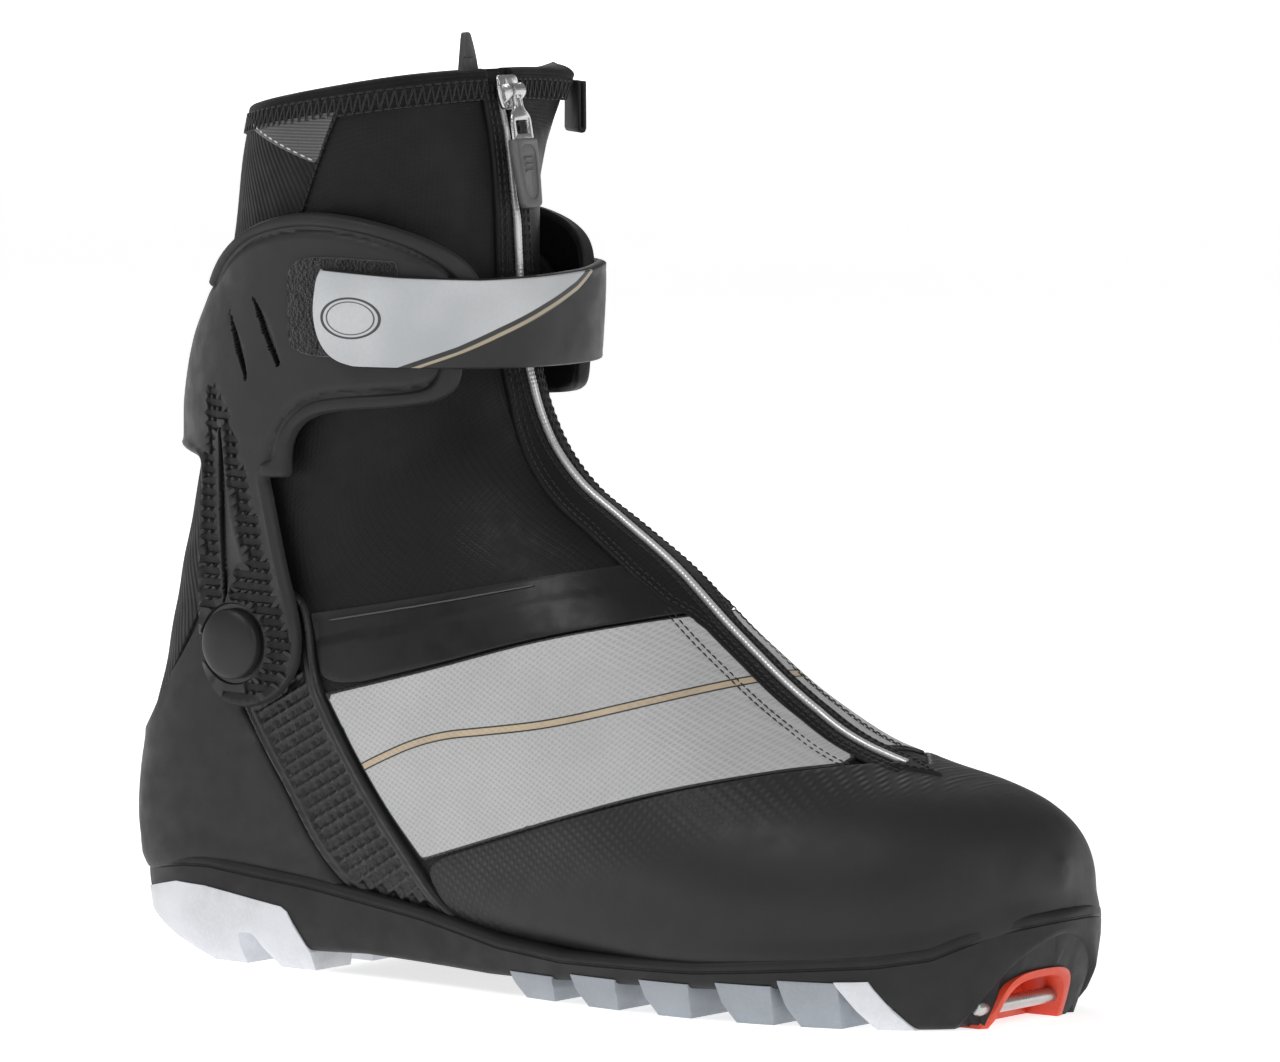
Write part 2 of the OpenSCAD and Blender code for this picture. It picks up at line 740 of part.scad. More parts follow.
module collar_tab() {
    color("#6a6c6e") translate([45.4, 0, 196]) rotate([0, -3, 0]) rotate([90, 0, 90])
        linear_extrude(1.4) offset(r = 1.2) offset(delta = -1.2)
            polygon([[-6, 0], [6, 0], [6, 22], [3.4, 37], [1, 43], [-0.6, 43], [-5, 22]]);
}

module collar_loop() {
    color("#161617") as_mesh() difference() {
        translate([46.6, 40.9, collar_z(44) - 17]) rotate([0, 0, -38])
            translate([-7, 0, 0]) cube([14, 2.3, 17]);
        last_solid(1.05, 15, open = true);
    }
}

// ---- Strap ----

module strap_region(low, high)
    translate([0, 0, low]) linear_extrude(high - low) polygon([[strap_end_x, -70], [120, -70],
        [120, 70], [ring_x + 1, 70], [ring_x + 1, 0], [strap_end_x, 0]]);

// What is cut away to round the strap's free end
STRAP_END = [[0, 190], [23.5, 190], [22.6, 180], [24, 170], [30, 161], [37, 157.3], [50, 155.6],
    [50, 140], [0, 140]];
module strap_band() {
    color(C_GREY) as_mesh() difference() {
        intersection() {
            cuff_solid(strap_gap + strap_t);
            strap_region(strap_z, strap_z + strap_h);
        }
        cuff_solid(strap_gap);
        across(STRAP_END, -70, 0);
        translate([ring_x, ring_y, strap_z - 1]) cylinder(h = strap_h + 2, r = 3.15, $fn = 32);
    }
    color(C_GREY) translate([ring_x, ring_y, strap_z + 2]) difference() {
        cylinder(h = strap_h - 4, r = 3.1, $fn = 32);
        translate([0, 0, -1]) cylinder(h = strap_h, r = ring_wire_r + 0.07, $fn = 32);
    }
}

module strap_film() {
    color("#dcdee0") as_mesh() difference() {
        intersection() {
            cuff_solid(strap_gap + strap_t + 0.5);
            across([[23.5, 180.6], [25, 170], [31, 161.6], [37, 158.2], [52, 156.4], [62, 162],
                [70, 171], [75, 180.6]], -70, 0);
        }
        cuff_solid(strap_gap + strap_t + 0.05);
    }
}

module strap_hook_pad() {
    color("#111112") as_mesh() difference() {
        intersection() {
            cuff_solid(strap_gap - 0.1);
            across([[25, 179], [26, 170], [32, 162.5], [50, 161], [50, 179]], -60, 0);
        }
        cuff_solid(1.4);
    }
}

// The ring is a rectangular loop of wire: the strap turns on its front bar
module strap_ring() {
    color("#1a1a1c") {
        translate([ring_x, ring_y, strap_z]) cylinder(h = strap_h, r = ring_wire_r, $fn = 32);
        translate([ring_back_x, ring_y, strap_z]) cylinder(h = strap_h, r = ring_wire_r, $fn = 32);
        for (z = [strap_z, strap_z + strap_h]) hull() for (x = [ring_x, ring_back_x])
            translate([x, ring_y, z]) sphere(r = ring_wire_r, $fn = 16);
    }
}

module strap_webbing() {
    color("#161617") {
        difference() {
            translate([ring_back_x, ring_y, strap_z + 3]) cylinder(h = strap_h - 6, r = 2.9, $fn = 32);
            translate([ring_back_x, ring_y, strap_z + 2]) cylinder(h = strap_h, r = ring_wire_r + 0.1,
                $fn = 32);
        }
        translate([-4, 42.2, strap_z + 3]) cube([ring_back_x - 2.1 + 4, 1.8, strap_h - 6]);
    }
}

// ---- Zip slider and pull, drawn upright at the top of the zip and then tilted ----

module zip_frame() translate(slider_at) rotate([0, -zip_tilt, 0]) children();

module zip_slider() {
    color("#a7a9ab") zip_frame() difference() {
        union() {
            translate([1.7, -slider_w / 2, -4.5]) cube([1.5, slider_w, 9]);
            for (side = [-1, 1]) translate([3.2, side * 2.6 - 0.5, -1.6]) cube([2.9, 1, 3.2]);
            translate([pull_out, 2.6, 0]) rotate([90, 0, 0]) cylinder(h = 5.2, r = pin_r, $fn = 32);
        }
    }
}

module pull_link() {
    color("#b4b6b8") zip_frame() translate([pull_out, 0, 0]) difference() {
        union() {
            rotate([90, 0, 0]) cylinder(h = 3.4, r = 1.5, center = true, $fn = 32);
            translate([-0.6, -1.7, -link_l + 6]) cube([1.2, 3.4, link_l - 6.6]);
            translate([-0.6, -4, -link_l]) cube([1.2, 8, 7]);
        }
        rotate([90, 0, 0]) cylinder(h = 8, r = pin_r + pin_play, center = true, $fn = 32);
        translate([-2, -2.4, -link_l + 2]) cube([4, 4.8, 3.6]);
    }
}

module pull_tab() {
    color("#4c4e50") zip_frame() translate([pull_out, 0, -link_l - 0.1]) rotate([90, 0, 90])
        translate([0, 0, -1.1]) linear_extrude(2.2)
            polygon([[-4.7, 0], [4.7, 0], [4.3, -6], [3.3, -tab_l], [-3.3, -tab_l], [-4.3, -6]]);
}

outsole();
heel_tread();
forefoot_lugs();
strut_lugs();
shank();
toe_pocket();
toe_bar();
lasting_board();
footbed();
foot_upper();
foot_lining();
heel_counter();
brace_lateral();
brace_medial();
toe_cap();
vamp_panel_lateral();
vamp_panel_medial();
quarter_band_lateral();
quarter_band_medial();
tongue();
laces();
lace_loops();
ankle_gusset();
ankle_lining();
instep_facing();
zip_lower();
zip_bottom_stop();
pivot_rivet_lateral();
pivot_rivet_medial();
pivot_cap_lateral();
pivot_cap_medial();
pivot_bush_lateral();
pivot_bush_medial();
cuff_shell();
cuff_trim();
cuff_pad();
cuff_loop_pad();
shaft_upper();
shaft_lining();
rear_panel();
reflective_patches();
collar_binding();
collar_facing();
collar_tab();
collar_loop();
zip_upper();
strap_webbing();
strap_ring();
strap_band();
strap_film();
strap_hook_pad();
zip_slider();
pull_link();
pull_tab();
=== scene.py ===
"""Looks of a cross-country skating boot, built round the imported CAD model.

Lengths are millimetres and become metres when a mesh is made. X runs from the heel to
the toe, +Y is the inner side and Z is up. (x, z) points are read in the side view.
"""

import math

import bmesh
import bpy
import numpy as np
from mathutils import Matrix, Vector
from mathutils.geometry import delaunay_2d_cdt


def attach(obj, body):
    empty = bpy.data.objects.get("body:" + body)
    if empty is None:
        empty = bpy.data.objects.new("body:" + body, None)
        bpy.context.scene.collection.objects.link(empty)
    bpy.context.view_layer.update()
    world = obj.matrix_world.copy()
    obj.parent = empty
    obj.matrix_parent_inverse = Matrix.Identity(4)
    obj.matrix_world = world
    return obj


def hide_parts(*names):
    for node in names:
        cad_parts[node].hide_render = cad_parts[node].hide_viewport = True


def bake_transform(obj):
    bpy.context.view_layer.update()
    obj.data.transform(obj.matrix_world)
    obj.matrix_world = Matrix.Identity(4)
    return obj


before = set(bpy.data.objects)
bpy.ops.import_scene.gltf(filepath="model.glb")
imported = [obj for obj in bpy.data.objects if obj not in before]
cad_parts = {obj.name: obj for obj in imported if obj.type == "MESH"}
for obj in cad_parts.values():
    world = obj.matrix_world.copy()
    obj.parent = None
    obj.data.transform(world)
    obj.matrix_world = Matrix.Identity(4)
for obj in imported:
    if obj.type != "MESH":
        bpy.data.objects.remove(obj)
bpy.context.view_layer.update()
MM = 0.001
rng = np.random.default_rng(11)

# ---------------------------------------------------------------- surfaces

# The last, as in part.scad: instep point, sole point, outer and inner half width,
# middle, height of the widest place, upper and lower exponent.
LAST = [
    [224.7, 37.6, 224.8, 36.6, 0.4, 0.4, 5, 0, 2, 2],
    [224, 41, 224.5, 33, 4, 4, 5, 0, 2, 2],
    [220, 49, 222, 22, 19, 18, 5, -0.1, 2, 3],
    [211, 54.3, 216, 17, 28, 27, 4.5, -0.2, 2.1, 4.5],
    [197, 58, 205, 14, 37, 36, 4, -0.3, 2.2, 6],
    [181, 61.8, 188, 12, 43, 42, 2.5, -0.35, 2.1, 7],
    [164, 68, 166, 12, 47, 45, 1, -0.4, 1.9, 7],
    [147, 78, 142, 12, 48.5, 46, 0, -0.4, 1.8, 7],
    [129, 91, 116, 13, 46.5, 44, 0, -0.4, 1.8, 7],
    [111, 105.5, 90, 14, 43, 40.5, 0, -0.35, 1.9, 7],
    [94, 116.5, 62, 16, 39.5, 37.5, 0, -0.3, 2, 6.5],
    [81.5, 124.5, 32, 17.5, 37, 35.5, 0, -0.25, 2, 6],
    [72.5, 133.5, 2, 18, 35.5, 34.5, 0, -0.2, 2.05, 6],
    [67, 143, -25, 18.5, 35, 34, 0, -0.15, 2.1, 6],
    [63.5, 153, -43, 23, 34.5, 34, 0, -0.1, 2.1, 4.5],
    [61.5, 162, -48.5, 40, 34.5, 34, 0, -0.05, 2.15, 3.2],
    [60.5, 170, -47.5, 63, 35, 34.5, 0, 0, 2.2, 2.2],
    [60, 178, -42, 88, 35.5, 35, 0, 0, 2.2, 2.1],
    [59.5, 186.5, -36, 112, 35.5, 35, 0, 0, 2.2, 2.1],
    [59, 195, -30.5, 138, 35.5, 35.5, 0, 0, 2.2, 2.1],
    [58, 204.5, -25.5, 164, 35.5, 36, 0, 0, 2.2, 2.1],
    [56.5, 214, -20.5, 186, 35.5, 37, 0, 0, 2.3, 2.1],
    [54.5, 222.5, -17.5, 205, 35.5, 39, 0, 0, 2.4, 2.1],
    [53, 231, -14.5, 219.5, 35.5, 41, 1, 0, 2.5, 2.1],
]
U_END = len(LAST) - 1

# The cuff's outer surface: z, middle, rear and front half depth, half width,
# rear and front exponent.
CUFF = [
    [60, -4, 46, 56, 40.5, 5, 5],
    [84, -2, 45, 56, 40.5, 4.5, 4.5],
    [104, 2, 43.5, 57, 40.5, 3.2, 3.6],
    [118, 5, 46, 57, 40.8, 2.3, 3.1],
    [130, 8, 47, 57.5, 41.3, 2, 2.8],
    [145, 11, 49.5, 58, 41.5, 2, 2.6],
    [160, 14, 49.5, 57, 41, 2, 2.5],
    [175, 16, 44, 56, 40.5, 2, 2.5],
    [198, 17, 41, 55, 40, 2, 2.5],
]

# The collar's front inner corner stands out a little, most at the rim
FLARE_MM = [0, 0.5, 2.7, 5.8, 8]
FLARE_ROW = range(U_END + 1 - len(FLARE_MM), U_END + 1)


def spline(rows, u):
    """Catmull-Rom through equally spaced rows"""
    rows = np.asarray(rows, float)
    n = len(rows)
    u = np.clip(u, 0, n - 1)
    i = np.clip(np.floor(u).astype(int), 0, n - 2)
    t = (u - i)[:, None]
    p0, p1, p2, p3 = (rows[np.clip(i + k, 0, n - 1)] for k in (-1, 0, 1, 2))
    return 0.5 * (2 * p1 + (p2 - p0) * t + (2 * p0 - 5 * p1 + 4 * p2 - p3) * t ** 2
                  + (3 * p1 - p0 - 3 * p2 + p3) * t ** 3)


def dense_angles():
    """Angles round a section, close together where a superellipse turns sharply"""
    t = np.linspace(0, 1, 100)
    quarter = 90 * t ** 3 / (t ** 3 + (1 - t) ** 3)
    half = np.concatenate([quarter, 90 + quarter[1:]])
    return np.concatenate([half, 180 + half[1:]])


ANGLES = dense_angles()
AC, AS = np.cos(np.radians(ANGLES)), np.sin(np.radians(ANGLES))
AC[np.abs(AC) < 1e-9] = 0
AS[np.abs(AS) < 1e-9] = 0


def travelled(line):
    """Distance run along a line, at each of its points"""
    return np.concatenate([[0], np.cumsum(np.linalg.norm(np.diff(line, axis=0), axis=1))])


def closed_up(line):
    """A line with its first point again at the end"""
    return np.concatenate([line, line[:1]])


class Surf:
    """A closed tube surface: a runs along it and b, from 0 to 1, round it, starting
    at the front or instep line and going over the outer side"""

    def __init__(self, a0, a1, rings, cols=480):
        self.a0, self.a1, self.rings = a0, a1, rings
        self.na, self.nb = len(rings), cols
        table = np.empty((self.na, cols + 1, 3))
        self.half = np.empty((self.na, 2))
        self.turn = []
        k = len(ANGLES) // 2
        for i, ring in enumerate(rings):
            run = travelled(ring)
            self.half[i] = run[k], run[-1] - run[k]
            b = np.where(run <= run[k], 0.5 * run / run[k],
                         0.5 + 0.5 * (run - run[k]) / (run[-1] - run[k]))
            self.turn.append(b)
            for c in range(3):
                table[i, :, c] = np.interp(np.linspace(0, 1, cols + 1), b, ring[:, c])
        self.T = table
        along = np.gradient(table, axis=0)
        wide = np.concatenate([table[:, -2:-1], table, table[:, 1:2]], 1)
        n = np.cross(along, wide[:, 2:] - wide[:, :-2])
        self.N = n / np.maximum(np.linalg.norm(n, axis=2, keepdims=True), 1e-12)

    def _mix(self, table, ab):
        a = np.clip((ab[:, 0] - self.a0) / (self.a1 - self.a0), 0, 1) * (self.na - 1)
        b = (ab[:, 1] % 1) * self.nb
        i = np.minimum(a.astype(int), self.na - 2)
        j = np.minimum(b.astype(int), self.nb - 1)
        f, g = (a - i)[:, None], (b - j)[:, None]
        return ((table[i, j] * (1 - g) + table[i, j + 1] * g) * (1 - f)
                + (table[i + 1, j] * (1 - g) + table[i + 1, j + 1] * g) * f)

    def normal(self, ab):
        n = self._mix(self.N, ab)
        return n / np.linalg.norm(n, axis=1, keepdims=True)

    def at(self, ab, d=0.0):
        ab = np.atleast_2d(ab)
        d = np.broadcast_to(d, (len(ab),))[:, None]
        return self._mix(self.T, ab) + self.normal(ab) * d

    def girth(self, a, inner=False):
        """Length of the outer or inner half of the way round"""
        t = (np.asarray(a, float) - self.a0) / (self.a1 - self.a0) * (self.na - 1)
        return np.interp(t, np.arange(self.na), self.half[:, 1 if inner else 0])

    def off(self, a, t):
        """b of a point t mm round from the front line, outer side positive"""
        t = np.asarray(t, float)
        return 0.5 * t / np.where(t >= 0, self.girth(a), self.girth(a, True))

    def jac(self, ab):
        e = np.array([[1e-3 * (self.a1 - self.a0), 0], [0, 1e-3]])
        return [(self.at(ab + e[k]) - self.at(ab - e[k])) / (2 * e[k, k]) for k in (0, 1)]

    def shift(self, ab, w):
        """ab moved by the small vector w, which lies along the surface"""
        ja, jb = self.jac(ab)
        aa, bb, cc = (ja * ja).sum(1), (jb * jb).sum(1), (ja * jb).sum(1)
        wa, wb = (ja * w).sum(1), (jb * w).sum(1)
        det = np.maximum(aa * bb - cc * cc, 1e-9)
        return ab + np.stack([(wa * bb - wb * cc) / det, (wb * aa - wa * cc) / det], 1)


RINGS = 700
CUFF_RINGS = 300
U_GRID = np.linspace(0, U_END, RINGS)
L_ROWS = spline(LAST, U_GRID)


def powered(x, n):
    """The superellipse's power of a sine or cosine, with its sign"""
    return np.sign(x) * np.abs(x) ** (2 / n)


def last_rings():
    """Sections of the last, from the toe to the collar"""
    corner = np.sin(np.pi * np.clip((ANGLES - 262) / 83, 0, 1)) ** 2
    rings = []
    for r, out in zip(L_ROWS, np.interp(U_GRID, FLARE_ROW, FLARE_MM)):
        tx, tz, bx, bz, wl, wm, yc, c0, nu, nl = r
        a = powered(AC, np.where(AC > 0, nu, nl))
        k = (c0 + np.where(AC > 0, 1 - c0, 1 + c0) * a + 1) / 2
        w = powered(AS, np.where(AC > 0, nu, nl)) * np.where(AS > 0, wl, wm)
        rings.append(np.stack([bx + (tx - bx) * k + 0.8 * out * corner,
                               yc - w + 0.6 * out * corner,
                               bz + (tz - bz) * k], 1))
    return np.array(rings)


def cuff_rings():
    """Sections of the cuff, level by level"""
    z = np.array([r[0] for r in CUFF])
    heights = np.linspace(z[0], z[-1], CUFF_RINGS)
    u = np.interp(heights, z, np.arange(len(z)))
    rings = []
    for r, h in zip(spline(CUFF, u), heights):
        _, cx, rear, front, w, nr, nf = r
        n = np.where(AC > 0, nf, nr)
        rings.append(np.stack([cx + np.where(AC > 0, front, rear) * powered(AC, n),
                               -w * powered(AS, n), np.full(len(AC), h)], 1))
    return np.array(rings)


FOOT = Surf(0, U_END, last_rings())
SHELL = Surf(CUFF[0][0], CUFF[-1][0], cuff_rings())


def foot_side(p, inner=False):
    """(a, b) on the last of the points (x, z) of the side view, and whether each of
    them is past the outline"""
    p = np.asarray(p, float)
    top, low = L_ROWS[:, 0:2], L_ROWS[:, 2:4]
    run = top - low
    side = ((p[:, None, 0] - low[:, 0]) * run[:, 1] - (p[:, None, 1] - low[:, 1]) * run[:, 0])
    k = np.argmax(side[:, 1:] >= 0, axis=1) + 1
    i = np.arange(len(p))
    s0, s1 = side[i, k - 1], side[i, k]
    f = np.clip(s0 / np.where(np.abs(s0 - s1) < 1e-12, 1, s0 - s1), 0, 1)
    u = (k - 1 + f) * U_END / (RINGS - 1)
    rows = spline(LAST, u)
    run = rows[:, 0:2] - rows[:, 2:4]
    q = ((p - rows[:, 2:4]) * run).sum(1) / (run ** 2).sum(1)
    e = np.clip(q, 0, 1) * 2 - 1
    c0 = rows[:, 7]
    up = e > c0
    a = np.where(up, (e - c0) / (1 - c0), (c0 - e) / (1 + c0))
    n = np.where(up, rows[:, 8], rows[:, 9])
    v = np.degrees(np.arccos(np.clip(np.where(up, 1, -1) * a ** (n / 2), -1, 1)))
    if inner:
        v = 360 - v
    idx = np.clip(np.round(u / U_END * (RINGS - 1)).astype(int), 0, RINGS - 1)
    b = np.array([np.interp(angle, ANGLES, FOOT.turn[i]) for angle, i in zip(v, idx)])
    return np.stack([u, b], 1), (q < 0) | (q > 1)


def shell_side(p, inner=False):
    """As foot_side, on the cuff"""
    p = np.asarray(p, float)
    z = np.clip(p[:, 1], SHELL.a0, SHELL.a1)
    idx = np.round((z - SHELL.a0) / (SHELL.a1 - SHELL.a0) * (SHELL.na - 1)).astype(int)
    half = SHELL.nb // 2
    grid = np.linspace(0, 0.5, half + 1)
    b, out = np.empty(len(p)), np.empty(len(p), bool)
    for j in range(len(p)):
        xs = SHELL.T[idx[j], :half + 1, 0]
        b[j] = np.interp(-p[j, 0], -xs, grid)
        out[j] = not xs[-1] <= p[j, 0] <= xs[0]
    if inner:
        b = 1 - b
    return np.stack([z, b], 1), out


SIDE_VIEW = {id(FOOT): foot_side, id(SHELL): shell_side}

SIDES = ((False, "lateral"), (True, "medial"))


def soft_line(points, closed=True, step=0.7):
    """A smooth line near the points. A third number is the corner's own radius."""
    n = len(points)
    xy = np.array([p[:2] for p in points], float)
    out = []
    for i, p in enumerate(xy):
        if not closed and i in (0, n - 1):
            out.append([p])
            continue
        a, c = xy[i - 1], xy[(i + 1) % n]
        la, lc = np.linalg.norm(p - a), np.linalg.norm(c - p)
        ra, rc = la / 2, lc / 2
        if len(points[i]) > 2:
            ra = rc = min(points[i][2], ra, rc)
        q0, q1 = p + (a - p) / la * ra, p + (c - p) / lc * rc
        t = np.linspace(0, 1, max(2, int((ra + rc) / step) + 1) + 1)[:, None]
        out.append(q0 * (1 - t) ** 2 + 2 * p * t * (1 - t) + q1 * t ** 2)
    return np.concatenate(out)


def even(surf, ab, closed, step):
    """ab again, with equal steps along the surface"""
    ring = closed_up(ab) if closed else ab
    run = travelled(surf.at(ring))
    keep = np.concatenate([[True], np.diff(run) > 1e-6])
    run, ring = run[keep], ring[keep]
    n = max(8, int(round(run[-1] / step)))
    t = np.linspace(0, run[-1], n + 1)
    new = np.stack([np.interp(t, run, ring[:, c]) for c in (0, 1)], 1)
    return new[:-1] if closed else new


def densify(p, step=0.5):
    """A line with points no further apart than step"""
    out = []
    for a, b in zip(p[:-1], p[1:]):
        m = max(1, int(np.linalg.norm(b - a) / step))
        out.append(a + (b - a) * np.linspace(0, 1, m, endpoint=False)[:, None])
    out.append(p[-1:])
    return np.concatenate(out)


def side_ring(surf, points, inner, step=0.8):
    """Closed outline from the side view, as (a, b)"""
    ab = SIDE_VIEW[id(surf)](densify(closed_up(soft_line(points)))[:-1], inner)[0]
    if np.ptp(ab[:, 1]) > 0.6:
        ab[:, 1] = np.where(ab[:, 1] > 0.75, ab[:, 1] - 1, ab[:, 1])
    return even(surf, ab, True, step)


def side_path(surf, points, inner, step=0.8, smooth=True):
    """Open line from the side view, cut off where it leaves the outline"""
    line = soft_line(points, False) if smooth else np.asarray(points, float)
    ab, out = SIDE_VIEW[id(surf)](densify(line), inner)
    if out.any() and not out[0]:
        ab = ab[:np.argmax(out) + 1]
    return even(surf, ab, False, step)


def wrap_ring(surf, top, low, step):
    """Outline of a piece that goes round the heel: its upper and its lower edge in
    the side view, each from the front to behind the heel"""
    tl, tm = (side_path(surf, top, s, step) for s in (False, True))
    ll, lm = (side_path(surf, low, s, step) for s in (False, True))
    return even(surf, np.concatenate([tl, tm[::-1], lm, ll[::-1]]), True, step)


def inside(poly, p):
    """Whether each of the points p lies inside a flat outline"""
    x, y = p[:, 0], p[:, 1]
    hit = np.zeros(len(p), bool)
    for (x0, y0), (x1, y1) in zip(poly, np.roll(poly, -1, 0)):
        if y0 != y1:
            hit ^= ((y0 > y) != (y1 > y)) & (x < (x1 - x0) * (y - y0) / (y1 - y0) + x0)
    return hit


def far(p, line, closed=True):
    """Distance of each point from a line of points"""
    a, b = (line, np.roll(line, -1, 0)) if closed else (line[:-1], line[1:])
    ab = b - a
    l2 = np.maximum((ab ** 2).sum(1), 1e-12)
    best = np.empty(len(p))
    for i in range(0, len(p), 2000):
        q = p[i:i + 2000]
        t = np.clip(((q[:, None] - a) * ab).sum(2) / l2, 0, 1)
        best[i:i + 2000] = np.sqrt(((a + ab * t[..., None] - q[:, None]) ** 2).sum(2)).min(1)
    return best


def nearest(p, q):
    """Distance of each point of p from the nearest one of q"""
    best = np.empty(len(p))
    for i in range(0, len(p), 1500):
        best[i:i + 1500] = np.sqrt(((p[i:i + 1500, None] - q[None]) ** 2).sum(2)).min(1)
    return best


# ---------------------------------------------------------------- meshes


def make(name, verts, faces, mat, body, replaces=(), uv=None, attrs=None,
         sharp=None):
    """A mesh piece from millimetres. body is a body's name, or "ankle" for a piece
    between boot and cuff, which is left without a parent with its transform baked in."""
    me = bpy.data.meshes.new(name)
    me.from_pydata((np.asarray(verts, float) * MM).tolist(), [], [list(f) for f in faces])
    me.polygons.foreach_set("use_smooth", [True] * len(me.polygons))
    if sharp:
        me.set_sharp_from_angle(angle=math.radians(sharp))
    if uv is not None:
        layer = me.uv_layers.new(name="UVMap")
        idx = np.empty(len(me.loops), int)
        me.loops.foreach_get("vertex_index", idx)
        layer.data.foreach_set("uv", (np.asarray(uv)[idx] * MM).astype(np.float32).ravel())
    for key, val in (attrs or {}).items():
        at = me.attributes.new(key, "FLOAT", "POINT")
        at.data.foreach_set("value", np.asarray(val, np.float32))
    me.materials.append(mat)
    me.validate()
    return settle(linked(name, me), body, replaces)


def settle(obj, body, replaces=()):
    """Hang a piece on what it rides on and hide the CAD nodes it stands for"""
    if body == "ankle":
        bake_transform(obj)
    else:
        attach(obj, body)
    if replaces:
        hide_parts(*replaces)
    return obj

def linked(name, mesh):
    """An object in the scene for a mesh"""
    obj = bpy.data.objects.new(name, mesh)
    bpy.context.scene.collection.objects.link(obj)
    return obj


def quads(n, m, wrap=False):
    """Faces of a grid of n rows of m points that is closed round each row"""
    return [(i * m + k, i * m + (k + 1) % m, (i + 1) % n * m + (k + 1) % m, (i + 1) % n * m + k)
            for i in range(n if wrap else n - 1) for k in range(m)]


def caps(n, m):
    """The first and the last row as faces"""
    return [tuple(reversed(range(m))), tuple((n - 1) * m + k for k in range(m))]


def turned_over(faces):
    """Faces that look the other way"""
    return [q[::-1] for q in faces]


def two_layers(n, m, ends):
    """Faces of two layers of n rows of m points, joined at the rows in ends"""
    f = []
    for a, b, c, d in quads(n, m):
        f += [(a, d, c, b), tuple(x + n * m for x in (b, c, d, a))]
    for i in ends:
        for k in range(m):
            a, b = i * m + k, i * m + (k + 1) % m
            q = (a, b, n * m + b, n * m + a)
            f.append(q if i == 0 else q[::-1])
    return f


class Cloud:
    """Vertices and faces gathered for one piece out of many parts"""

    def __init__(self):
        self.v, self.f, self.n = [], [], 0

    def add(self, v, f):
        self.v.append(v)
        self.f += [[i + self.n for i in q] for q in f]
        self.n += len(v)

    def make(self, name, mat, body, slot, replaces=()):
        make(name, np.concatenate(self.v), self.f, K[mat], body, replaces,
             np.zeros((self.n, 2)))


def triangulate(ring, points):
    """Triangles over ring and the points inside it, all in one plane"""
    every = np.concatenate([ring, points]) if len(points) else ring
    border = [list(range(len(ring)))]
    verts, _, tris, orig, _, _ = delaunay_2d_cdt([Vector(p) for p in every], [], border, 1, 1e-6)
    src = [o[0] if o else -1 for o in orig]
    return np.array([tuple(v) for v in verts]), [tuple(t) for t in tris if len(t) == 3], src


def net_points(surf, ring, scale, base, r, h, lines, own):
    """Points for a patch's net inside its ring: those of the front and of the back"""
    plane, rim, lifted = ring * scale, surf.at(ring), surf.at(ring, base)
    tan = np.roll(lifted, -1, 0) - np.roll(lifted, 1, 0)
    tan /= np.maximum(np.linalg.norm(tan, axis=1, keepdims=True), 1e-9)
    inward = np.cross(surf.normal(ring), tan)
    if inside(plane, surf.shift(ring, inward * 0.5) * scale).mean() < 0.5:
        inward = -inward

    def clear(q, least):
        q = q[inside(plane, q * scale)]
        return q[far(surf.at(q), rim) >= least] if len(q) else q

    sets = [(surf.shift(ring, inward * r * k), r * k * 0.9) for k in (0.1, 0.32, 0.65, 1.0)]
    low, high = ring.min(0), ring.max(0)
    ha, hb = h / scale[0], h / scale[1]
    rows = np.arange(low[0], high[0] + ha, ha * 0.87)
    cols = np.arange(low[1], high[1] + hb, hb)
    sets.append((np.array([(a, b + (hb / 2 if i % 2 else 0)) for i, a in enumerate(rows)
                           for b in cols]), r + 0.45 * h))
    fine = clear(np.concatenate(lines), r * 1.05) if len(lines) else np.zeros((0, 2))
    front = []
    for q, least in sets:
        q = clear(q, least)
        if own is not None and len(q):
            q = q[~own(surf.at(q))]
        if len(fine) and len(q):
            q = q[nearest(surf.at(q), surf.at(fine)) > 0.4 * h]
        front.append(q)
    back = clear(np.array([(a, b) for a in rows[::4] for b in cols[::4]]), 1.5 * h)
    return np.concatenate(front + [fine]), back


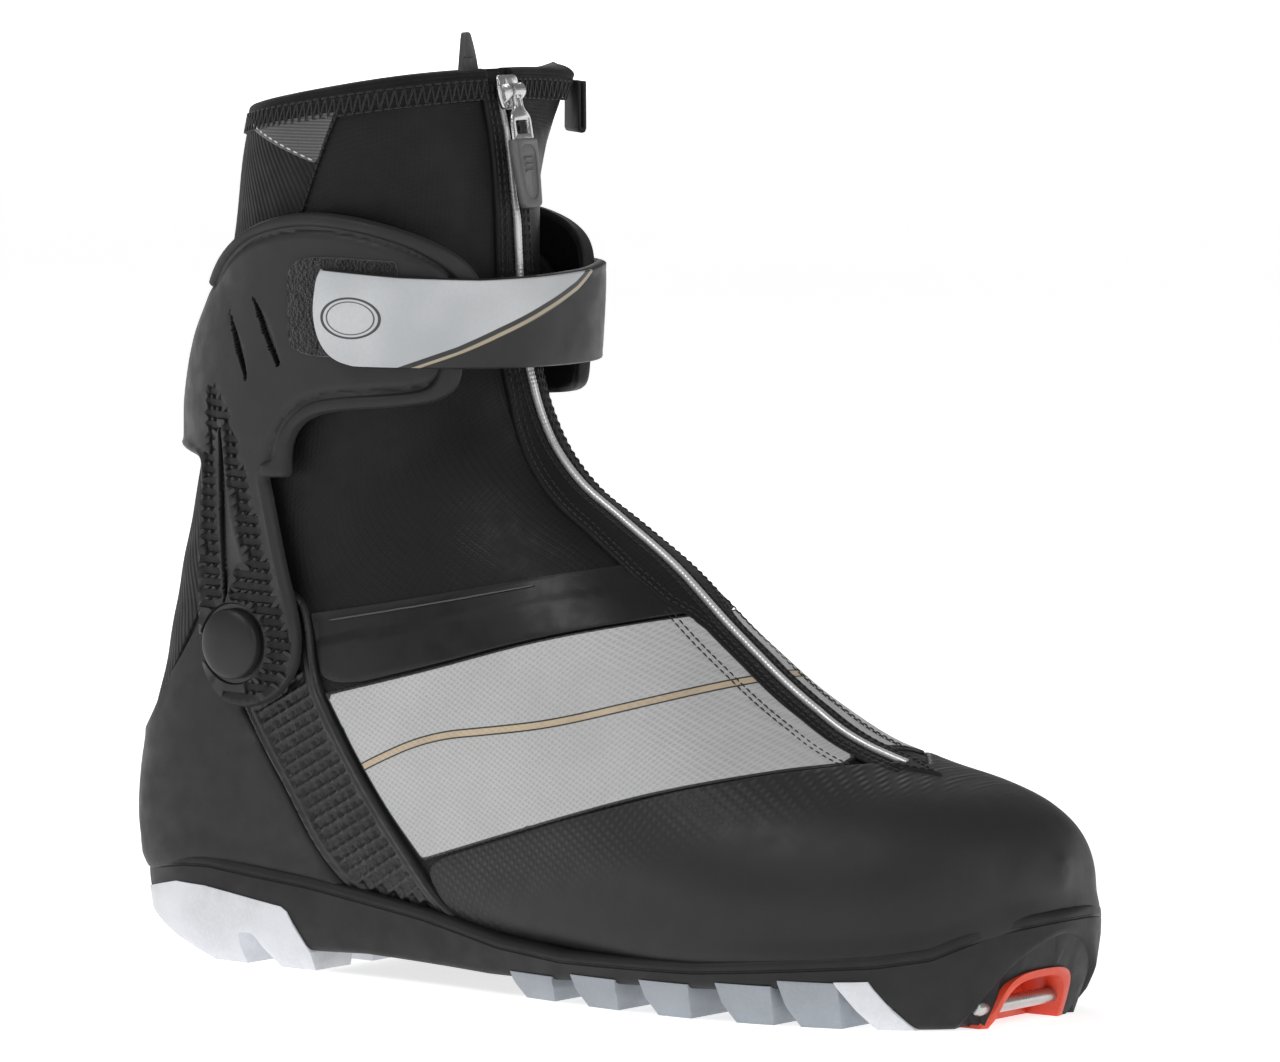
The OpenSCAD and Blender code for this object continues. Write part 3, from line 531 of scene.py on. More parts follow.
def patch(surf, ring, base=0.05, t=1.0, r=0.8, h=1.2, skirt=0.8, relief=None, lines=(),
          uv="side", extra=None, own=None):
    """A sheet over surf with a rounded border, closed underneath. It is t thick above
    base with a border of radius r, a grid of h and a back skirt below base. relief(P,
    dist) adds height in mm, lines are further (a, b) points for fine features, own(P)
    is true where only those are used, and extra adds named values per vertex."""
    scale = np.array([np.linalg.norm(np.diff(surf.T[:, surf.nb // 4], axis=0), axis=1).sum()
                      / (surf.a1 - surf.a0), surf.half.mean(0).sum()])
    plane = ring * scale
    front, back = net_points(surf, ring, scale, base, r, h, lines, own)
    flat, tris, src = triangulate(plane, front * scale)
    ab = flat / scale
    dist = far(surf.at(ab), surf.at(ring))
    s = np.clip(dist / r, 0, 1)
    lift = t * np.sqrt(np.clip(1 - (1 - s) ** 2, 0, 1))
    if relief is not None:
        lift = lift + relief(surf.at(ab), dist) * s
    top = surf.at(ab, base + lift)
    if not winding(top, tris, surf.normal(ab)):
        tris = turned_over(tris)
    where = {s_: i for i, s_ in enumerate(src) if 0 <= s_ < len(ring)}
    border = [i for i in range(len(ring)) if i in where]
    loop = [where[i] for i in border]
    m, n = len(top), len(loop)
    wall = [(loop[i], loop[(i + 1) % n], m + (i + 1) % n, m + i) for i in range(n)]
    faces = tris + (wall if loop_flip(tris, loop) else turned_over(wall))
    back, back_tris, src = triangulate(plane[border], back * scale)
    back = back / scale
    free = [i for i, s_ in enumerate(src) if not 0 <= s_ < n]
    place = {i: m + n + k for k, i in enumerate(free)}
    back_tris = [tuple(place.get(i, m + src[i]) for i in tri) for tri in back_tris]
    full = np.concatenate([ab, ab[loop], back[free]])
    verts = np.concatenate([top, surf.at(full[m:], base - skirt)])
    if winding(verts, back_tris, surf.normal(full)):
        back_tris = turned_over(back_tris)
    p = surf.at(full)
    at = {"edge": np.concatenate([dist, np.zeros(len(full) - m)])}
    at.update({k: fn(p) for k, fn in (extra or {}).items()})
    return verts, faces + back_tris, p[:, [0, 2]] if uv == "side" else full * scale, at


def winding(v, tris, nrm):
    """True where the triangles face along the normals"""
    t = np.array(tris[:400])
    n = np.cross(v[t[:, 1]] - v[t[:, 0]], v[t[:, 2]] - v[t[:, 0]])
    return (n * nrm[t[:, 0]]).sum() > 0


def loop_flip(tris, loop):
    """True where the border runs against the triangles' own direction"""
    edges = set()
    for a, b, c in tris:
        edges.update(((a, b), (b, c), (c, a)))
    hits = sum((loop[i], loop[(i + 1) % len(loop)]) in edges for i in range(len(loop)))
    return hits < len(loop) / 2


def lay(name, surf, ring, mat, body, slot, replaces=(), sharp=None, **shape):
    """A patch as a piece"""
    v, f, uv, at = patch(surf, ring, **shape)
    return make(name, v, f, K[mat], body, replaces, uv, at, sharp)


def tube(line, radius, sides=8, closed=False, normals=None, flat=1.0):
    """A round tube along a line. radius may vary, and flat squeezes it along the
    normals."""
    line = np.asarray(line, float)
    n = len(line)
    radius = np.broadcast_to(radius, (n,))
    if closed:
        tan = np.roll(line, -1, 0) - np.roll(line, 1, 0)
    else:
        tan = np.gradient(line, axis=0)
    tan /= np.maximum(np.linalg.norm(tan, axis=1, keepdims=True), 1e-9)
    if normals is None:
        ref = np.array([0, 0, 1.0]) if abs(tan[:, 2]).mean() < 0.8 else np.array([1.0, 0, 0])
        normals = np.broadcast_to(ref, line.shape)
    nn = normals - (normals * tan).sum(1)[:, None] * tan
    nn = nn / np.maximum(np.linalg.norm(nn, axis=1, keepdims=True), 1e-9)
    bi = np.cross(tan, nn)
    ang = np.arange(sides) / sides * 2 * np.pi
    v = (line[:, None] + radius[:, None, None] * (np.cos(ang)[None, :, None] * bi[:, None]
         + flat * np.sin(ang)[None, :, None] * nn[:, None])).reshape(-1, 3)
    return v, quads(n, sides, True) if closed else quads(n, sides) + caps(n, sides)


THREAD_TAPER = np.array([0.35, 0.9, 1.0, 0.9, 0.35])
THREAD_RISE = np.array([-0.5, 0.35, 0.6, 0.35, -0.5])


def stitch_row(cloud, ab, lift, pitch, length, radius, moved=(0, 0, 0)):
    """Short threads along a line on the last"""
    pts, nrm = FOOT.at(ab, lift) + moved, FOOT.normal(ab)
    run = travelled(pts)
    count = int(run[-1] / pitch)
    for i in range(count):
        t = (i + 0.5) * run[-1] / count + np.linspace(-0.5, 0.5, 5) * length
        t = np.clip(t, 0, run[-1])
        p, n = (np.stack([np.interp(t, run, x[:, c]) for c in range(3)], 1) for x in (pts, nrm))
        cloud.add(*tube(p + n * (THREAD_RISE * radius)[:, None], radius * THREAD_TAPER, 6,
                        normals=n))


# ---------------------------------------------------------------- materials


class Mat:
    """A node-based material. Lengths are given in millimetres."""

    def __init__(self, name, rough=0.5, metal=0.0, sheen=0.0, coat=0.0, coat_rough=0.2,
                 spec=0.5, sheen_rough=0.5):
        self.m = bpy.data.materials.new(name)
        self.m.use_nodes = True
        self.t = self.m.node_tree
        self.b = self.t.nodes["Principled BSDF"]
        for key, val in (("Metallic", metal), ("Sheen Weight", sheen), ("Coat Weight", coat),
                         ("Coat Roughness", coat_rough), ("Specular IOR Level", spec),
                         ("Sheen Roughness", sheen_rough), ("Roughness", rough)):
            self.b.inputs[key].default_value = val
        self.rough = rough
        self.height = None

    def node(self, kind, **kw):
        n = self.t.nodes.new("ShaderNode" + kind)
        for k, v in kw.items():
            setattr(n, k, v)
        return n

    def put(self, sock, val):
        if isinstance(val, bpy.types.NodeSocket):
            self.t.links.new(val, sock)
        elif hasattr(sock.default_value, "__len__") and not hasattr(val, "__len__"):
            sock.default_value = [val] * len(sock.default_value)
        elif hasattr(val, "__len__") and len(val) == 3 and len(sock.default_value) == 4:
            sock.default_value = (*val, 1)
        else:
            sock.default_value = val

    def op(self, how, a, b=0.0, c=0.0):
        n = self.node("Math", operation=how)
        for sock, val in zip(n.inputs, (a, b, c)):
            self.put(sock, val)
        return n.outputs[0]

    def attr(self, name):
        return self.node("Attribute", attribute_name=name).outputs["Fac"]

    def uv(self, angle=0.0):
        """The piece's own surface coordinates in millimetres, turned by angle degrees"""
        m = self.node("Mapping")
        self.put(m.inputs["Vector"], self.node("UVMap").outputs[0])
        m.inputs["Scale"].default_value = (1000, 1000, 1000)
        m.inputs["Rotation"].default_value = (0, 0, math.radians(angle))
        s = self.node("SeparateXYZ")
        self.put(s.inputs[0], m.outputs[0])
        return s.outputs[0], s.outputs[1]

    def noise(self, size, detail=3.0, rough=0.5, uv=False):
        tex = self.node("TexNoise")
        self.put(tex.inputs["Vector"], self.node("UVMap").outputs[0] if uv
                 else self.node("TexCoord").outputs["Object"])
        tex.inputs["Scale"].default_value = 1000 / size
        tex.inputs["Detail"].default_value = detail
        tex.inputs["Roughness"].default_value = rough
        return tex.outputs["Fac"]

    def cells(self, size):
        tex = self.node("TexVoronoi", feature="F1")
        self.put(tex.inputs["Vector"], self.node("TexCoord").outputs["Object"])
        tex.inputs["Scale"].default_value = 1000 / size
        return tex.outputs["Distance"]

    def step(self, x, lo, hi, a=0.0, b=1.0):
        n = self.node("MapRange", interpolation_type="SMOOTHSTEP")
        for key, val in (("Value", x), ("From Min", lo), ("From Max", hi), ("To Min", a),
                         ("To Max", b)):
            self.put(n.inputs[key], val)
        return n.outputs[0]

    def wave(self, x, pitch, phase=0.0):
        """0 to 1, once in each pitch"""
        return self.op("MULTIPLY_ADD", self.op(
            "SINE", self.op("MULTIPLY_ADD", x, 2 * math.pi / pitch, phase)), 0.5, 0.5)

    def mix(self, fac, a, b):
        n = self.node("Mix", data_type="RGBA")
        self.put(n.inputs[0], fac)
        self.put(n.inputs[6], a)
        self.put(n.inputs[7], b)
        return n.outputs[2]

    def color(self, base, vary=0.12, size=14.0, edge=None, edge_mm=0.5):
        """Base colour with large and small variation, and a paler worn edge"""
        base = np.array(base)
        lo, hi = base * (1 - vary), base * (1 + vary)
        big = self.noise(size, 4)
        col = self.mix(self.step(big, 0.3, 0.7), tuple(lo), tuple(hi))
        small = self.noise(0.9, 2)
        col = self.mix(self.step(small, 0.35, 0.75, 0, 0.35), col, tuple(base * (1 + 2 * vary)))
        if edge is not None:
            col = self.mix(self.step(self.attr("edge"), 0, edge_mm, 0.55, 0), col, edge)
        return col

    def bump(self, height, mm, strength=1.0):
        n = self.node("Bump")
        n.inputs["Strength"].default_value = strength
        n.inputs["Distance"].default_value = mm * MM
        self.put(n.inputs["Height"], height)
        if self.height is not None:
            self.put(n.inputs["Normal"], self.height)
        self.height = n.outputs[0]

    def done(self, col, rough_vary=0.08, rough_size=6.0):
        self.put(self.b.inputs["Base Color"], col)
        n = self.noise(rough_size, 3)
        self.put(self.b.inputs["Roughness"], self.step(n, 0.25, 0.75, self.rough - rough_vary,
                                                       self.rough + rough_vary))
        if self.height is not None:
            self.put(self.b.inputs["Normal"], self.height)
        return self.m


def moulded(name, base, rough, grain=0.5, depth=0.03, edge=None, **kw):
    m = Mat(name, rough, **kw)
    m.bump(m.noise(grain, 3, 0.6), depth)
    m.bump(m.noise(grain * 9, 2), depth * 1.5)
    return m.done(m.color(base, 0.08, 18, edge))


def cuff_material():
    """Matt plastic, painted darker in its recesses as shade and paler along its ridges and facets
    as light
    """
    m = Mat("cuff_plastic", 0.5, spec=0.3)
    m.bump(m.noise(0.45, 3, 0.6), 0.025)
    m.bump(m.noise(4, 2), 0.04)
    deep = m.attr("deep")
    base = m.color((0.025, 0.025, 0.0254), 0.08, 24)
    # painted shade: near black where the cuff is sunk in
    col = m.mix(m.step(deep, 0.02, 0.5), base, (0.004, 0.004, 0.0042))
    # painted light: paler on the facets beside the slots
    col = m.mix(m.step(deep, -0.1, -0.5), col, (0.048, 0.048, 0.049))
    return m.done(col)


def woven(name, base, rough, pitch=0.7, depth=0.08, angle=0.0, vary=0.15, **kw):
    """Plain weave, with the two threads out of step and painted shade between the threads"""
    m = Mat(name, rough, **kw)
    x, y = m.uv(angle)
    warp = m.op("MULTIPLY", m.wave(x, pitch), m.wave(y, pitch * 2))
    weft = m.op("MULTIPLY", m.wave(y, pitch, math.pi / 2), m.wave(x, pitch * 2, math.pi))
    h = m.op("MAXIMUM", warp, weft)
    m.bump(h, depth)
    m.bump(m.noise(5, 3), depth * 1.2)
    # painted shade: darker in the low gaps between the threads
    col = m.mix(m.step(h, 0.1, 0.8), tuple(np.array(base) * 0.75), m.color(base, vary, 22))
    return m.done(col)


def ribbed(name, base, rough, pitch=1.6, depth=0.2, angle=55.0, **kw):
    m = Mat(name, rough, **kw)
    x, y = m.uv(angle)
    rib = m.wave(x, pitch)
    fine = m.wave(y, pitch * 0.45)
    h = m.op("MULTIPLY_ADD", fine, 0.25, rib)
    m.bump(h, depth)
    m.bump(m.noise(6, 3), depth * 0.5)
    # painted shade: much darker in the valleys between the ribs
    col = m.mix(m.step(rib, 0.15, 0.9), tuple(np.array(base) * 0.45), m.color(base, 0.2, 20))
    return m.done(col)


def metal(name, base, rough, brushed=False):
    m = Mat(name, rough, metal=1.0)
    m.bump(m.noise(0.8, 2), 0.002)
    if brushed:
        m.bump(m.noise(0.25, 2, uv=True), 0.008)
    return m.done(m.color(base, 0.08, 5), 0.06, 2.5)


def vamp_material():
    """Silver cloth with rows of small dimples, a gold stripe and a black outline"""
    m = Mat("vamp_cloth", 0.42, spec=0.5, sheen=0.1)
    x, y = m.uv(-13)
    row = m.op("MULTIPLY", m.wave(x, 2.1), m.wave(y, 1.5))
    off = m.op("MULTIPLY", m.wave(x, 2.1, math.pi), m.wave(y, 1.5, math.pi))
    dim = m.op("MAXIMUM", row, off)
    m.bump(m.op("SUBTRACT", 1, dim), 0.12)
    m.bump(m.wave(y, 0.5), 0.02)
    m.bump(m.noise(9, 3), 0.25)
    base = m.color((0.47, 0.474, 0.47), 0.05, 26)
    # painted shade: darker in the dimples
    col = m.mix(m.step(dim, 0.25, 0.9, 0, 0.35), base, (0.27, 0.274, 0.274))
    s = m.op("ABSOLUTE", m.attr("stripe"))
    gold = m.color((0.50, 0.40, 0.28), 0.08, 8)
    col = m.mix(m.step(s, 1.05, 1.2, 1, 0), col, (0.012, 0.012, 0.012))
    col = m.mix(m.step(s, 0.68, 0.8, 1, 0), col, gold)
    col = m.mix(m.step(m.attr("edge"), 0.65, 0.9, 1, 0), col, (0.012, 0.012, 0.012))
    return m.done(col, 0.06)


def toe_material():
    """Dark film over cloth: a fine dot pattern that fades out towards the toe"""
    m = Mat("toe_film", 0.5, spec=0.3)
    x, y = m.uv(30)
    dot = m.op("MULTIPLY", m.wave(x, 1.9), m.wave(y, 1.9))
    fade = m.attr("fade")
    m.bump(m.op("MULTIPLY", dot, fade), 0.14)
    m.bump(m.noise(0.45, 3, 0.6), 0.02)
    m.bump(m.noise(11, 3), 0.12)
    base = m.color((0.021, 0.021, 0.0213), 0.07, 30)
    col = m.mix(m.op("MULTIPLY", m.step(dot, 0.3, 0.95), m.op("MULTIPLY", fade, 0.5)), base,
                (0.045, 0.046, 0.047))
    return m.done(col, 0.05)


def strap_material():
    """Silver film with a curved gold line, a thin lens-shaped frame and a dark rest"""
    m = Mat("strap_film", 0.36, spec=0.5, coat=0.25, coat_rough=0.3)
    m.bump(m.noise(0.4, 3, 0.6), 0.012)
    shade = m.noise(40, 2)
    silver = m.mix(m.step(shade, 0.35, 0.65), (0.40, 0.415, 0.43), (0.54, 0.555, 0.57))
    silver = m.mix(m.step(m.noise(0.8, 2), 0.4, 0.7, 0, 0.15), silver, (0.34, 0.35, 0.36))
    s = m.attr("sweep")
    dark = m.color((0.028, 0.028, 0.0285), 0.08, 20)
    col = m.mix(m.step(s, -0.12, 0.12), dark, silver)
    d = m.op("ABSOLUTE", s)
    col = m.mix(m.step(d, 0.45, 0.6, 1, 0), col, (0.006, 0.006, 0.006))
    gold = m.color((0.36, 0.30, 0.21), 0.06, 8)
    col = m.mix(m.step(m.op("ABSOLUTE", m.op("ADD", s, 1.15)), 0.4, 0.52, 1, 0), col, gold)
    f = m.attr("frame")
    col = m.mix(m.step(m.op("ABSOLUTE", f), 0.22, 0.36, 1, 0), col, (0.035, 0.036, 0.038))
    col = m.mix(m.step(m.op("ABSOLUTE", m.op("ADD", f, 1.0)), 0.1, 0.22, 1, 0), col,
                (0.07, 0.072, 0.075))
    return m.done(col, 0.05)


def pile_material(name, base):
    """Hook and loop pile"""
    m = Mat(name, 0.95, spec=0.2, sheen=0.4)
    h = m.noise(0.5, 4, 0.8)
    m.bump(h, 0.5)
    m.bump(m.cells(0.9), 0.3)
    col = m.mix(m.step(h, 0.4, 0.75), tuple(np.array(base) * 0.4), tuple(np.array(base) * 2.6))
    return m.done(col)


K = {
    "softshell": woven("softshell_cloth", (0.00712, 0.00712, 0.00765), 0.5, 0.6, 0.05,
                       spec=0.22, sheen=0.02),
    "rear": ribbed("rear_rib_cloth", (0.0084, 0.0084, 0.00875), 0.75, 1.5, 0.22, 62,
                   spec=0.3, sheen=0.05),
    "counter": moulded("counter_rubber", (0.0204, 0.0204, 0.0206), 0.52, 0.4, 0.02, spec=0.3),
    "brace": moulded("brace_rubber", (0.00935, 0.00935, 0.0099), 0.42, 0.4, 0.02,
                     edge=(0.0275, 0.0275, 0.0275), spec=0.5),
    "toe": toe_material(),
    "vamp": vamp_material(),
    "band": moulded("band_film", (0.0095, 0.0095, 0.01), 0.42, 0.8, 0.03, spec=0.3),
    "line": moulded("hairline_film", (0.07, 0.07, 0.072), 0.4, 0.5, 0.01),
    "sole": moulded("sole_rubber", (0.014, 0.014, 0.0147), 0.55, 0.5, 0.03, spec=0.3),
    "white": moulded("tread_white", (0.636, 0.649, 0.679), 0.42, 0.5, 0.015, spec=0.5),
    "grey": moulded("tread_grey", (0.288, 0.312, 0.344), 0.42, 0.5, 0.015, spec=0.5),
    "red": moulded("pocket_red", (0.62, 0.055, 0.02), 0.35, 0.6, 0.015, spec=0.5),
    "steel": metal("bar_steel", (0.50, 0.50, 0.49), 0.32, True),
    "alu": metal("rivet_aluminium", (0.55, 0.56, 0.57), 0.3),
    "cuff": cuff_material(),
    "trim": moulded("trim_rubber", (0.0198, 0.0201, 0.0204), 0.55, 0.4, 0.02,
                    edge=(0.036, 0.036, 0.036), spec=0.3),
    "cap": moulded("cap_plastic", (0.0186, 0.0186, 0.0192), 0.44, 0.5, 0.02, spec=0.3),
    "ring": moulded("ring_black", (0.006, 0.006, 0.006), 0.3, 0.6, 0.008, spec=0.5),
    "bush": moulded("bush_acetal", (0.5, 0.48, 0.42), 0.4, 0.7, 0.01),
    "thread": woven("thread_black", (0.0088, 0.0088, 0.0092), 0.6, 0.3, 0.02, spec=0.35,
                    sheen=0.2),
    "thread_white": woven("thread_white", (0.62, 0.62, 0.62), 0.7, 0.3, 0.02),
    "binding": ribbed("binding_knit", (0.0078, 0.0078, 0.0081), 0.7, 0.9, 0.12, 90,
                      spec=0.2, sheen=0.05),
    "reflect": ribbed("reflective_film", (0.105, 0.105, 0.107), 0.45, 0.8, 0.02, 90, spec=0.5),
    "tab": moulded("tab_rubber", (0.066, 0.0672, 0.069), 0.5, 0.5, 0.02),
    "strap": moulded("strap_rubber", (0.022, 0.0222, 0.0226), 0.46, 0.45, 0.02, spec=0.3),
    "film": strap_material(),
    "pile": pile_material("strap_pile", (0.006, 0.006, 0.006)),
    "wire": moulded("ring_paint", (0.008, 0.008, 0.009), 0.28, 0.8, 0.01, coat=0.3),
    "nickel": metal("zip_nickel", (0.55, 0.55, 0.555), 0.26),
    "pull": moulded("pull_rubber", (0.115, 0.116, 0.118), 0.42, 0.4, 0.015),
    "zip": moulded("zip_coil", (0.66, 0.66, 0.67), 0.3, 3.0, 0.01, spec=0.9, metal=0.5),
    "webbing": ribbed("webbing_black", (0.0072, 0.0072, 0.0075), 0.7, 1.2, 0.2, 0, sheen=0.1),
    "lining": woven("lining_knit", (0.0132, 0.0132, 0.0138), 0.85, 1.1, 0.12, spec=0.2,
                    sheen=0.25),
    "tongue": woven("tongue_mesh", (0.0096, 0.0096, 0.0102), 0.8, 1.6, 0.2, spec=0.25),
    "footbed": woven("footbed_knit", (0.0315, 0.035, 0.0385), 0.85, 0.9, 0.08, spec=0.2),
    "lace": woven("lace_braid", (0.007, 0.007, 0.0077), 0.7, 0.7, 0.12, 45),
    "board": woven("board_felt", (0.2, 0.17, 0.13), 0.9, 0.8, 0.08),
    "plate": woven("shank_plate", (0.02, 0.02, 0.02), 0.35, 2.0, 0.02, 45),
    "pad": woven("pad_cloth", (0.0072, 0.0072, 0.0072), 0.8, 0.9, 0.1),
}

# ---------------------------------------------------------------- paths

T_Z = L_ROWS[:, 1]
T_X = L_ROWS[:, 0]


def join(*lines, step=0.8):
    """One closed outline on the last out of several lines"""
    return even(FOOT, np.concatenate(lines), True, step)


FACE_Z = [58, 63, 75, 93, 97, 101, 108, 125, 150, 172, 205, 226]
FACE_T = [7.2, 7.0, 6.8, 6.8, 8.5, 11.5, 12.6, 10.5, 8, 7.5, 6.5, 6.5]
DRIFT_Z = [58, 64, 72, 84, 100, 120, 150, 172, 231]
DRIFT_T = [6.5, 5.6, 3.2, 2.0, 1.4, 0.8, 0, 0, 0]


def drift(z):
    """How far the zip runs to the outer side of the instep line"""
    return np.interp(z, DRIFT_Z, DRIFT_T)


def instep(z, t):
    """(a, b) on the instep line's height z, t mm round to the outer side"""
    u = np.interp(z, T_Z, U_GRID)
    return np.stack([u, FOOT.off(u, t)], 1)


SOLE_EDGE = np.array([[-64, 20.5], [-42, 22.3], [-22, 25.5], [-12, 26], [22, 23], [61, 18],
                      [87, 13.5], [109, 12], [152, 13], [200, 17], [211, 19], [222, 25],
                      [232, 28]], float)


def sole_line(x):
    """Height where the upper meets the sole"""
    return np.interp(x, SOLE_EDGE[:, 0], SOLE_EDGE[:, 1])


def side_dist(p, line):
    """Distance in the side view from a smooth line"""
    return far(p[:, [0, 2]], soft_line(line, False), False)


def over_line(p, line):
    """Signed distance in the side view from a line that runs forwards"""
    q = soft_line(line, False)
    return side_dist(p, line) * np.sign(p[:, 2] - np.interp(p[:, 0], q[:, 0], q[:, 1]))


def near(x, at, width):
    """1 at a place, falling off to both sides as a bell"""
    return np.exp(-((x - at) / width) ** 2)


def ramp(x, lo, hi):
    """0 up to lo and 1 from hi on, with a smooth rise"""
    t = np.clip((x - lo) / (hi - lo), 0, 1)
    return t * t * (3 - 2 * t)


def ripple(p, size, seed=0.0):
    """Smooth unevenness from -1 to 1"""
    x, y, z = (p[:, i] / size + seed * (i + 1.7) for i in range(3))
    return (np.sin(x + 1.3 * np.sin(0.7 * z + y)) * np.cos(1.1 * z - 0.6 * y)
            + 0.5 * np.sin(2.3 * x - 1.7 * z + 0.8 * y)) / 1.5


SKIN_UV = [10.5, 230]


def tube_skin(us, cols, outer, inner):
    """A closed skin between two offsets of the last"""
    ab = np.array([(u, k / cols) for u in us for k in range(cols)])
    layers = [FOOT.at(ab, outer(FOOT.at(ab)) if callable(outer) else outer), FOOT.at(ab, inner)]
    faces = two_layers(len(us), cols, (0, len(us) - 1))
    return np.concatenate(layers), faces, np.concatenate([ab, ab]) * SKIN_UV


# ---- softshell, linings, tongue, laces ----

def shell_relief(p):
    """Soft folds where the ankle bends, and a light pucker along the zip"""
    fold = near(p[:, 2] - 0.55 * (p[:, 0] - 40) - 128, 0, 16)
    front = np.clip((p[:, 0] - 5) / 50, 0, 1)
    wave = np.sin((p[:, 2] + 0.25 * p[:, 0]) / 4.6 + 0.6 * np.sin(p[:, 0] / 11))
    return -0.2 + 0.28 * fold * front * wave + 0.12 * ripple(p, 13, 0.4)


CLOTH_BACK = -1.9
LINING_FRONT, LINING_BACK = -2.3, -5.4
v, f, uv = tube_skin(np.linspace(4.2, U_END - 0.2, 210), 150, shell_relief, CLOTH_BACK)
make("softshell", v, f, K["softshell"], "ankle",
     ("foot_upper", "ankle_gusset", "shaft_upper"), uv)

v, f, uv = tube_skin(np.linspace(4.6, U_END - 0.12, 110), 96, LINING_FRONT, LINING_BACK)
lining = make("quilted_lining", v, f, K["lining"], "ankle",
              ("foot_lining", "ankle_lining", "shaft_lining"), uv)


def tongue_relief(p, dist):
    return 0.7 * np.abs(np.sin(p[:, 2] / 7.0)) ** 0.5 - 0.7


z = np.linspace(92, 206, 60)
t = np.interp(z, [92, 110, 140, 180, 206], [20, 24, 22, 17, 14])
ring = join(instep(z, t), instep(z[::-1], -t[::-1]), step=1.6)
tongue = lay("tongue", FOOT, ring, "tongue", "ankle", "tongue_fabric", ("tongue",),
             base=-8.6, t=2.2, r=2.4, h=2.6, skirt=1.0, relief=tongue_relief)

laces = Cloud()
loops = Cloud()
LACE_Z = [91, 98, 106, 114, 122, 130]
s = np.linspace(-1, 1, 24)
for low, high in zip(LACE_Z[:-1], LACE_Z[1:]):
    for side, depth in ((-1, -2.95), (1, -4.45)):
        ab = instep(low + (high - low) * (s + 1) / 2, side * s * 9)
        laces.add(*tube(FOOT.at(ab, depth), 0.7))
s = np.linspace(-1, 1, 9)
for z in LACE_Z:
    for side in (-1, 1):
        ab = instep(z + s * 2.0, side * (10.6 + 0 * s))
        loops.add(*tube(FOOT.at(ab, -3.7), 0.75, flat=0.7))
laces.make("laces", "lace", "ankle", "lace_cord", ("laces",))
loops.make("lace_loops", "webbing", "ankle", "webbing", ("lace_loops",))

# ---- footbed ----

BOARD = np.array([[-70, 24], [-50, 23.5], [-28, 22.5], [3, 22], [32, 21.5], [62, 20],
                  [90, 18], [116, 17], [142, 16], [188, 16], [205, 18.5], [240, 30]], float)
FOOTBED_MID = 2.5
FOOTBED_THICK = 4.4


def footbed_mesh():
    xs = np.concatenate([np.linspace(-39, -34, 6), np.linspace(-31, 196, 80),
                         np.linspace(198, 207, 7)])
    cols = np.linspace(-1, 1, 25)
    n = len(cols)
    board = np.interp(xs, BOARD[:, 0], BOARD[:, 1])
    wide = []
    for inner in (False, True):
        ab = foot_side(np.stack([xs, board + 3.5], 1), inner)[0]
        wide.append(np.abs(FOOT.at(ab, -3.0)[:, 1] - FOOTBED_MID))
    v = []
    for k, x in enumerate(xs):
        for low in (False, True):
            for c in cols:
                half = wide[0 if c < 0 else 1][k] - 1.0
                rise = 1.6 * abs(c) ** 4 * ramp(-x, -90, 10)
                dip = 1.2 * (1 - c * c) * ramp(-x, 10, 35)
                z = board[k] + (0.3 if low else FOOTBED_THICK + rise - dip)
                edge = 1 - 0.02 * (abs(c) > 0.99) * (not low)
                v.append((x, FOOTBED_MID + c * half * edge, z))
    f = []
    for k in range(len(xs) - 1):
        o, q = k * 2 * n, (k + 1) * 2 * n
        for c in range(n - 1):
            f.append((o + c, q + c, q + c + 1, o + c + 1))
            f.append((o + n + c, o + n + c + 1, q + n + c + 1, q + n + c))
        f.append((o, o + n, q + n, q))
        f.append((o + n - 1, q + n - 1, q + 2 * n - 1, o + 2 * n - 1))
    end = tuple(range(n)) + tuple(n + c for c in reversed(range(n)))
    f += [end, tuple((len(xs) - 1) * 2 * n + i for i in reversed(end))]
    v = np.array(v)
    return v, f, v[:, [0, 1]]


v, f, uv = footbed_mesh()
footbed = make("footbed", v, f, K["footbed"], "boot", ("footbed",), uv,
               sharp=50)

# ---- heel counter, braces ----

CREASE = [(-34, 30), (-27, 35), (-12, 50), (-3, 57), (9, 60.5)]
COUNTER_TOP = [(41, 18), (26, 29.4), (14, 46.4), (5, 58.4), (-1, 68, 1.5), (10, 74, 2),
               (14, 88), (11, 98, 3), (0, 98, 4), (-12, 93), (-20, 82), (-29, 71), (-37, 60),
               (-45, 56.5), (-62, 55)]
COUNTER_LOW = [(41, 18), (22, 20), (-12, 23.4), (-25, 23), (-48, 20), (-64, 18)]


def counter_relief(p, dist):
    d = side_dist(p, CREASE)
    lip = 0.45 * near(dist, 1.6, 0.9) * ramp(p[:, 2], 48, 56) * ramp(-p[:, 0], -2, 8)
    foot = 1.5 * ramp(-(p[:, 2] - sole_line(p[:, 0])), -9, -1)
    return lip - 0.35 * near(d, 0, 1.3) + foot + 0.1 * ripple(p, 17, 2.0)


lay("heel_counter", FOOT, wrap_ring(FOOT, COUNTER_TOP, COUNTER_LOW, 1.0), "counter", "boot",
    "counter_rubber", ("heel_counter",), t=1.6, r=1.2, h=2.0, relief=counter_relief, uv="own")

BRACE = [(13, 98.5, 2), (19, 95), (21.5, 88), (23.5, 76), (29, 66), (42.5, 48.2), (58.5, 31.5),
         (70, 19), (78, 11, 1), (60, 13), (41, 18), (26.2, 29.6), (14.2, 46.6), (5.2, 58.6),
         (-0.6, 68, 1), (11.2, 74, 2), (14.2, 88)]
BRACE_DIR = math.radians(-62)
BRACE_AT = (20, 70)
BRACE_PITCH = (3.2, 2.9)
BRACE_WALL = 0.55


def brace_axes(p):
    """Distance along the brace and across it"""
    x, z = p[:, 0] - BRACE_AT[0], p[:, 2] - BRACE_AT[1]
    c, s = math.cos(BRACE_DIR), math.sin(BRACE_DIR)
    return x * c + z * s, -x * s + z * c


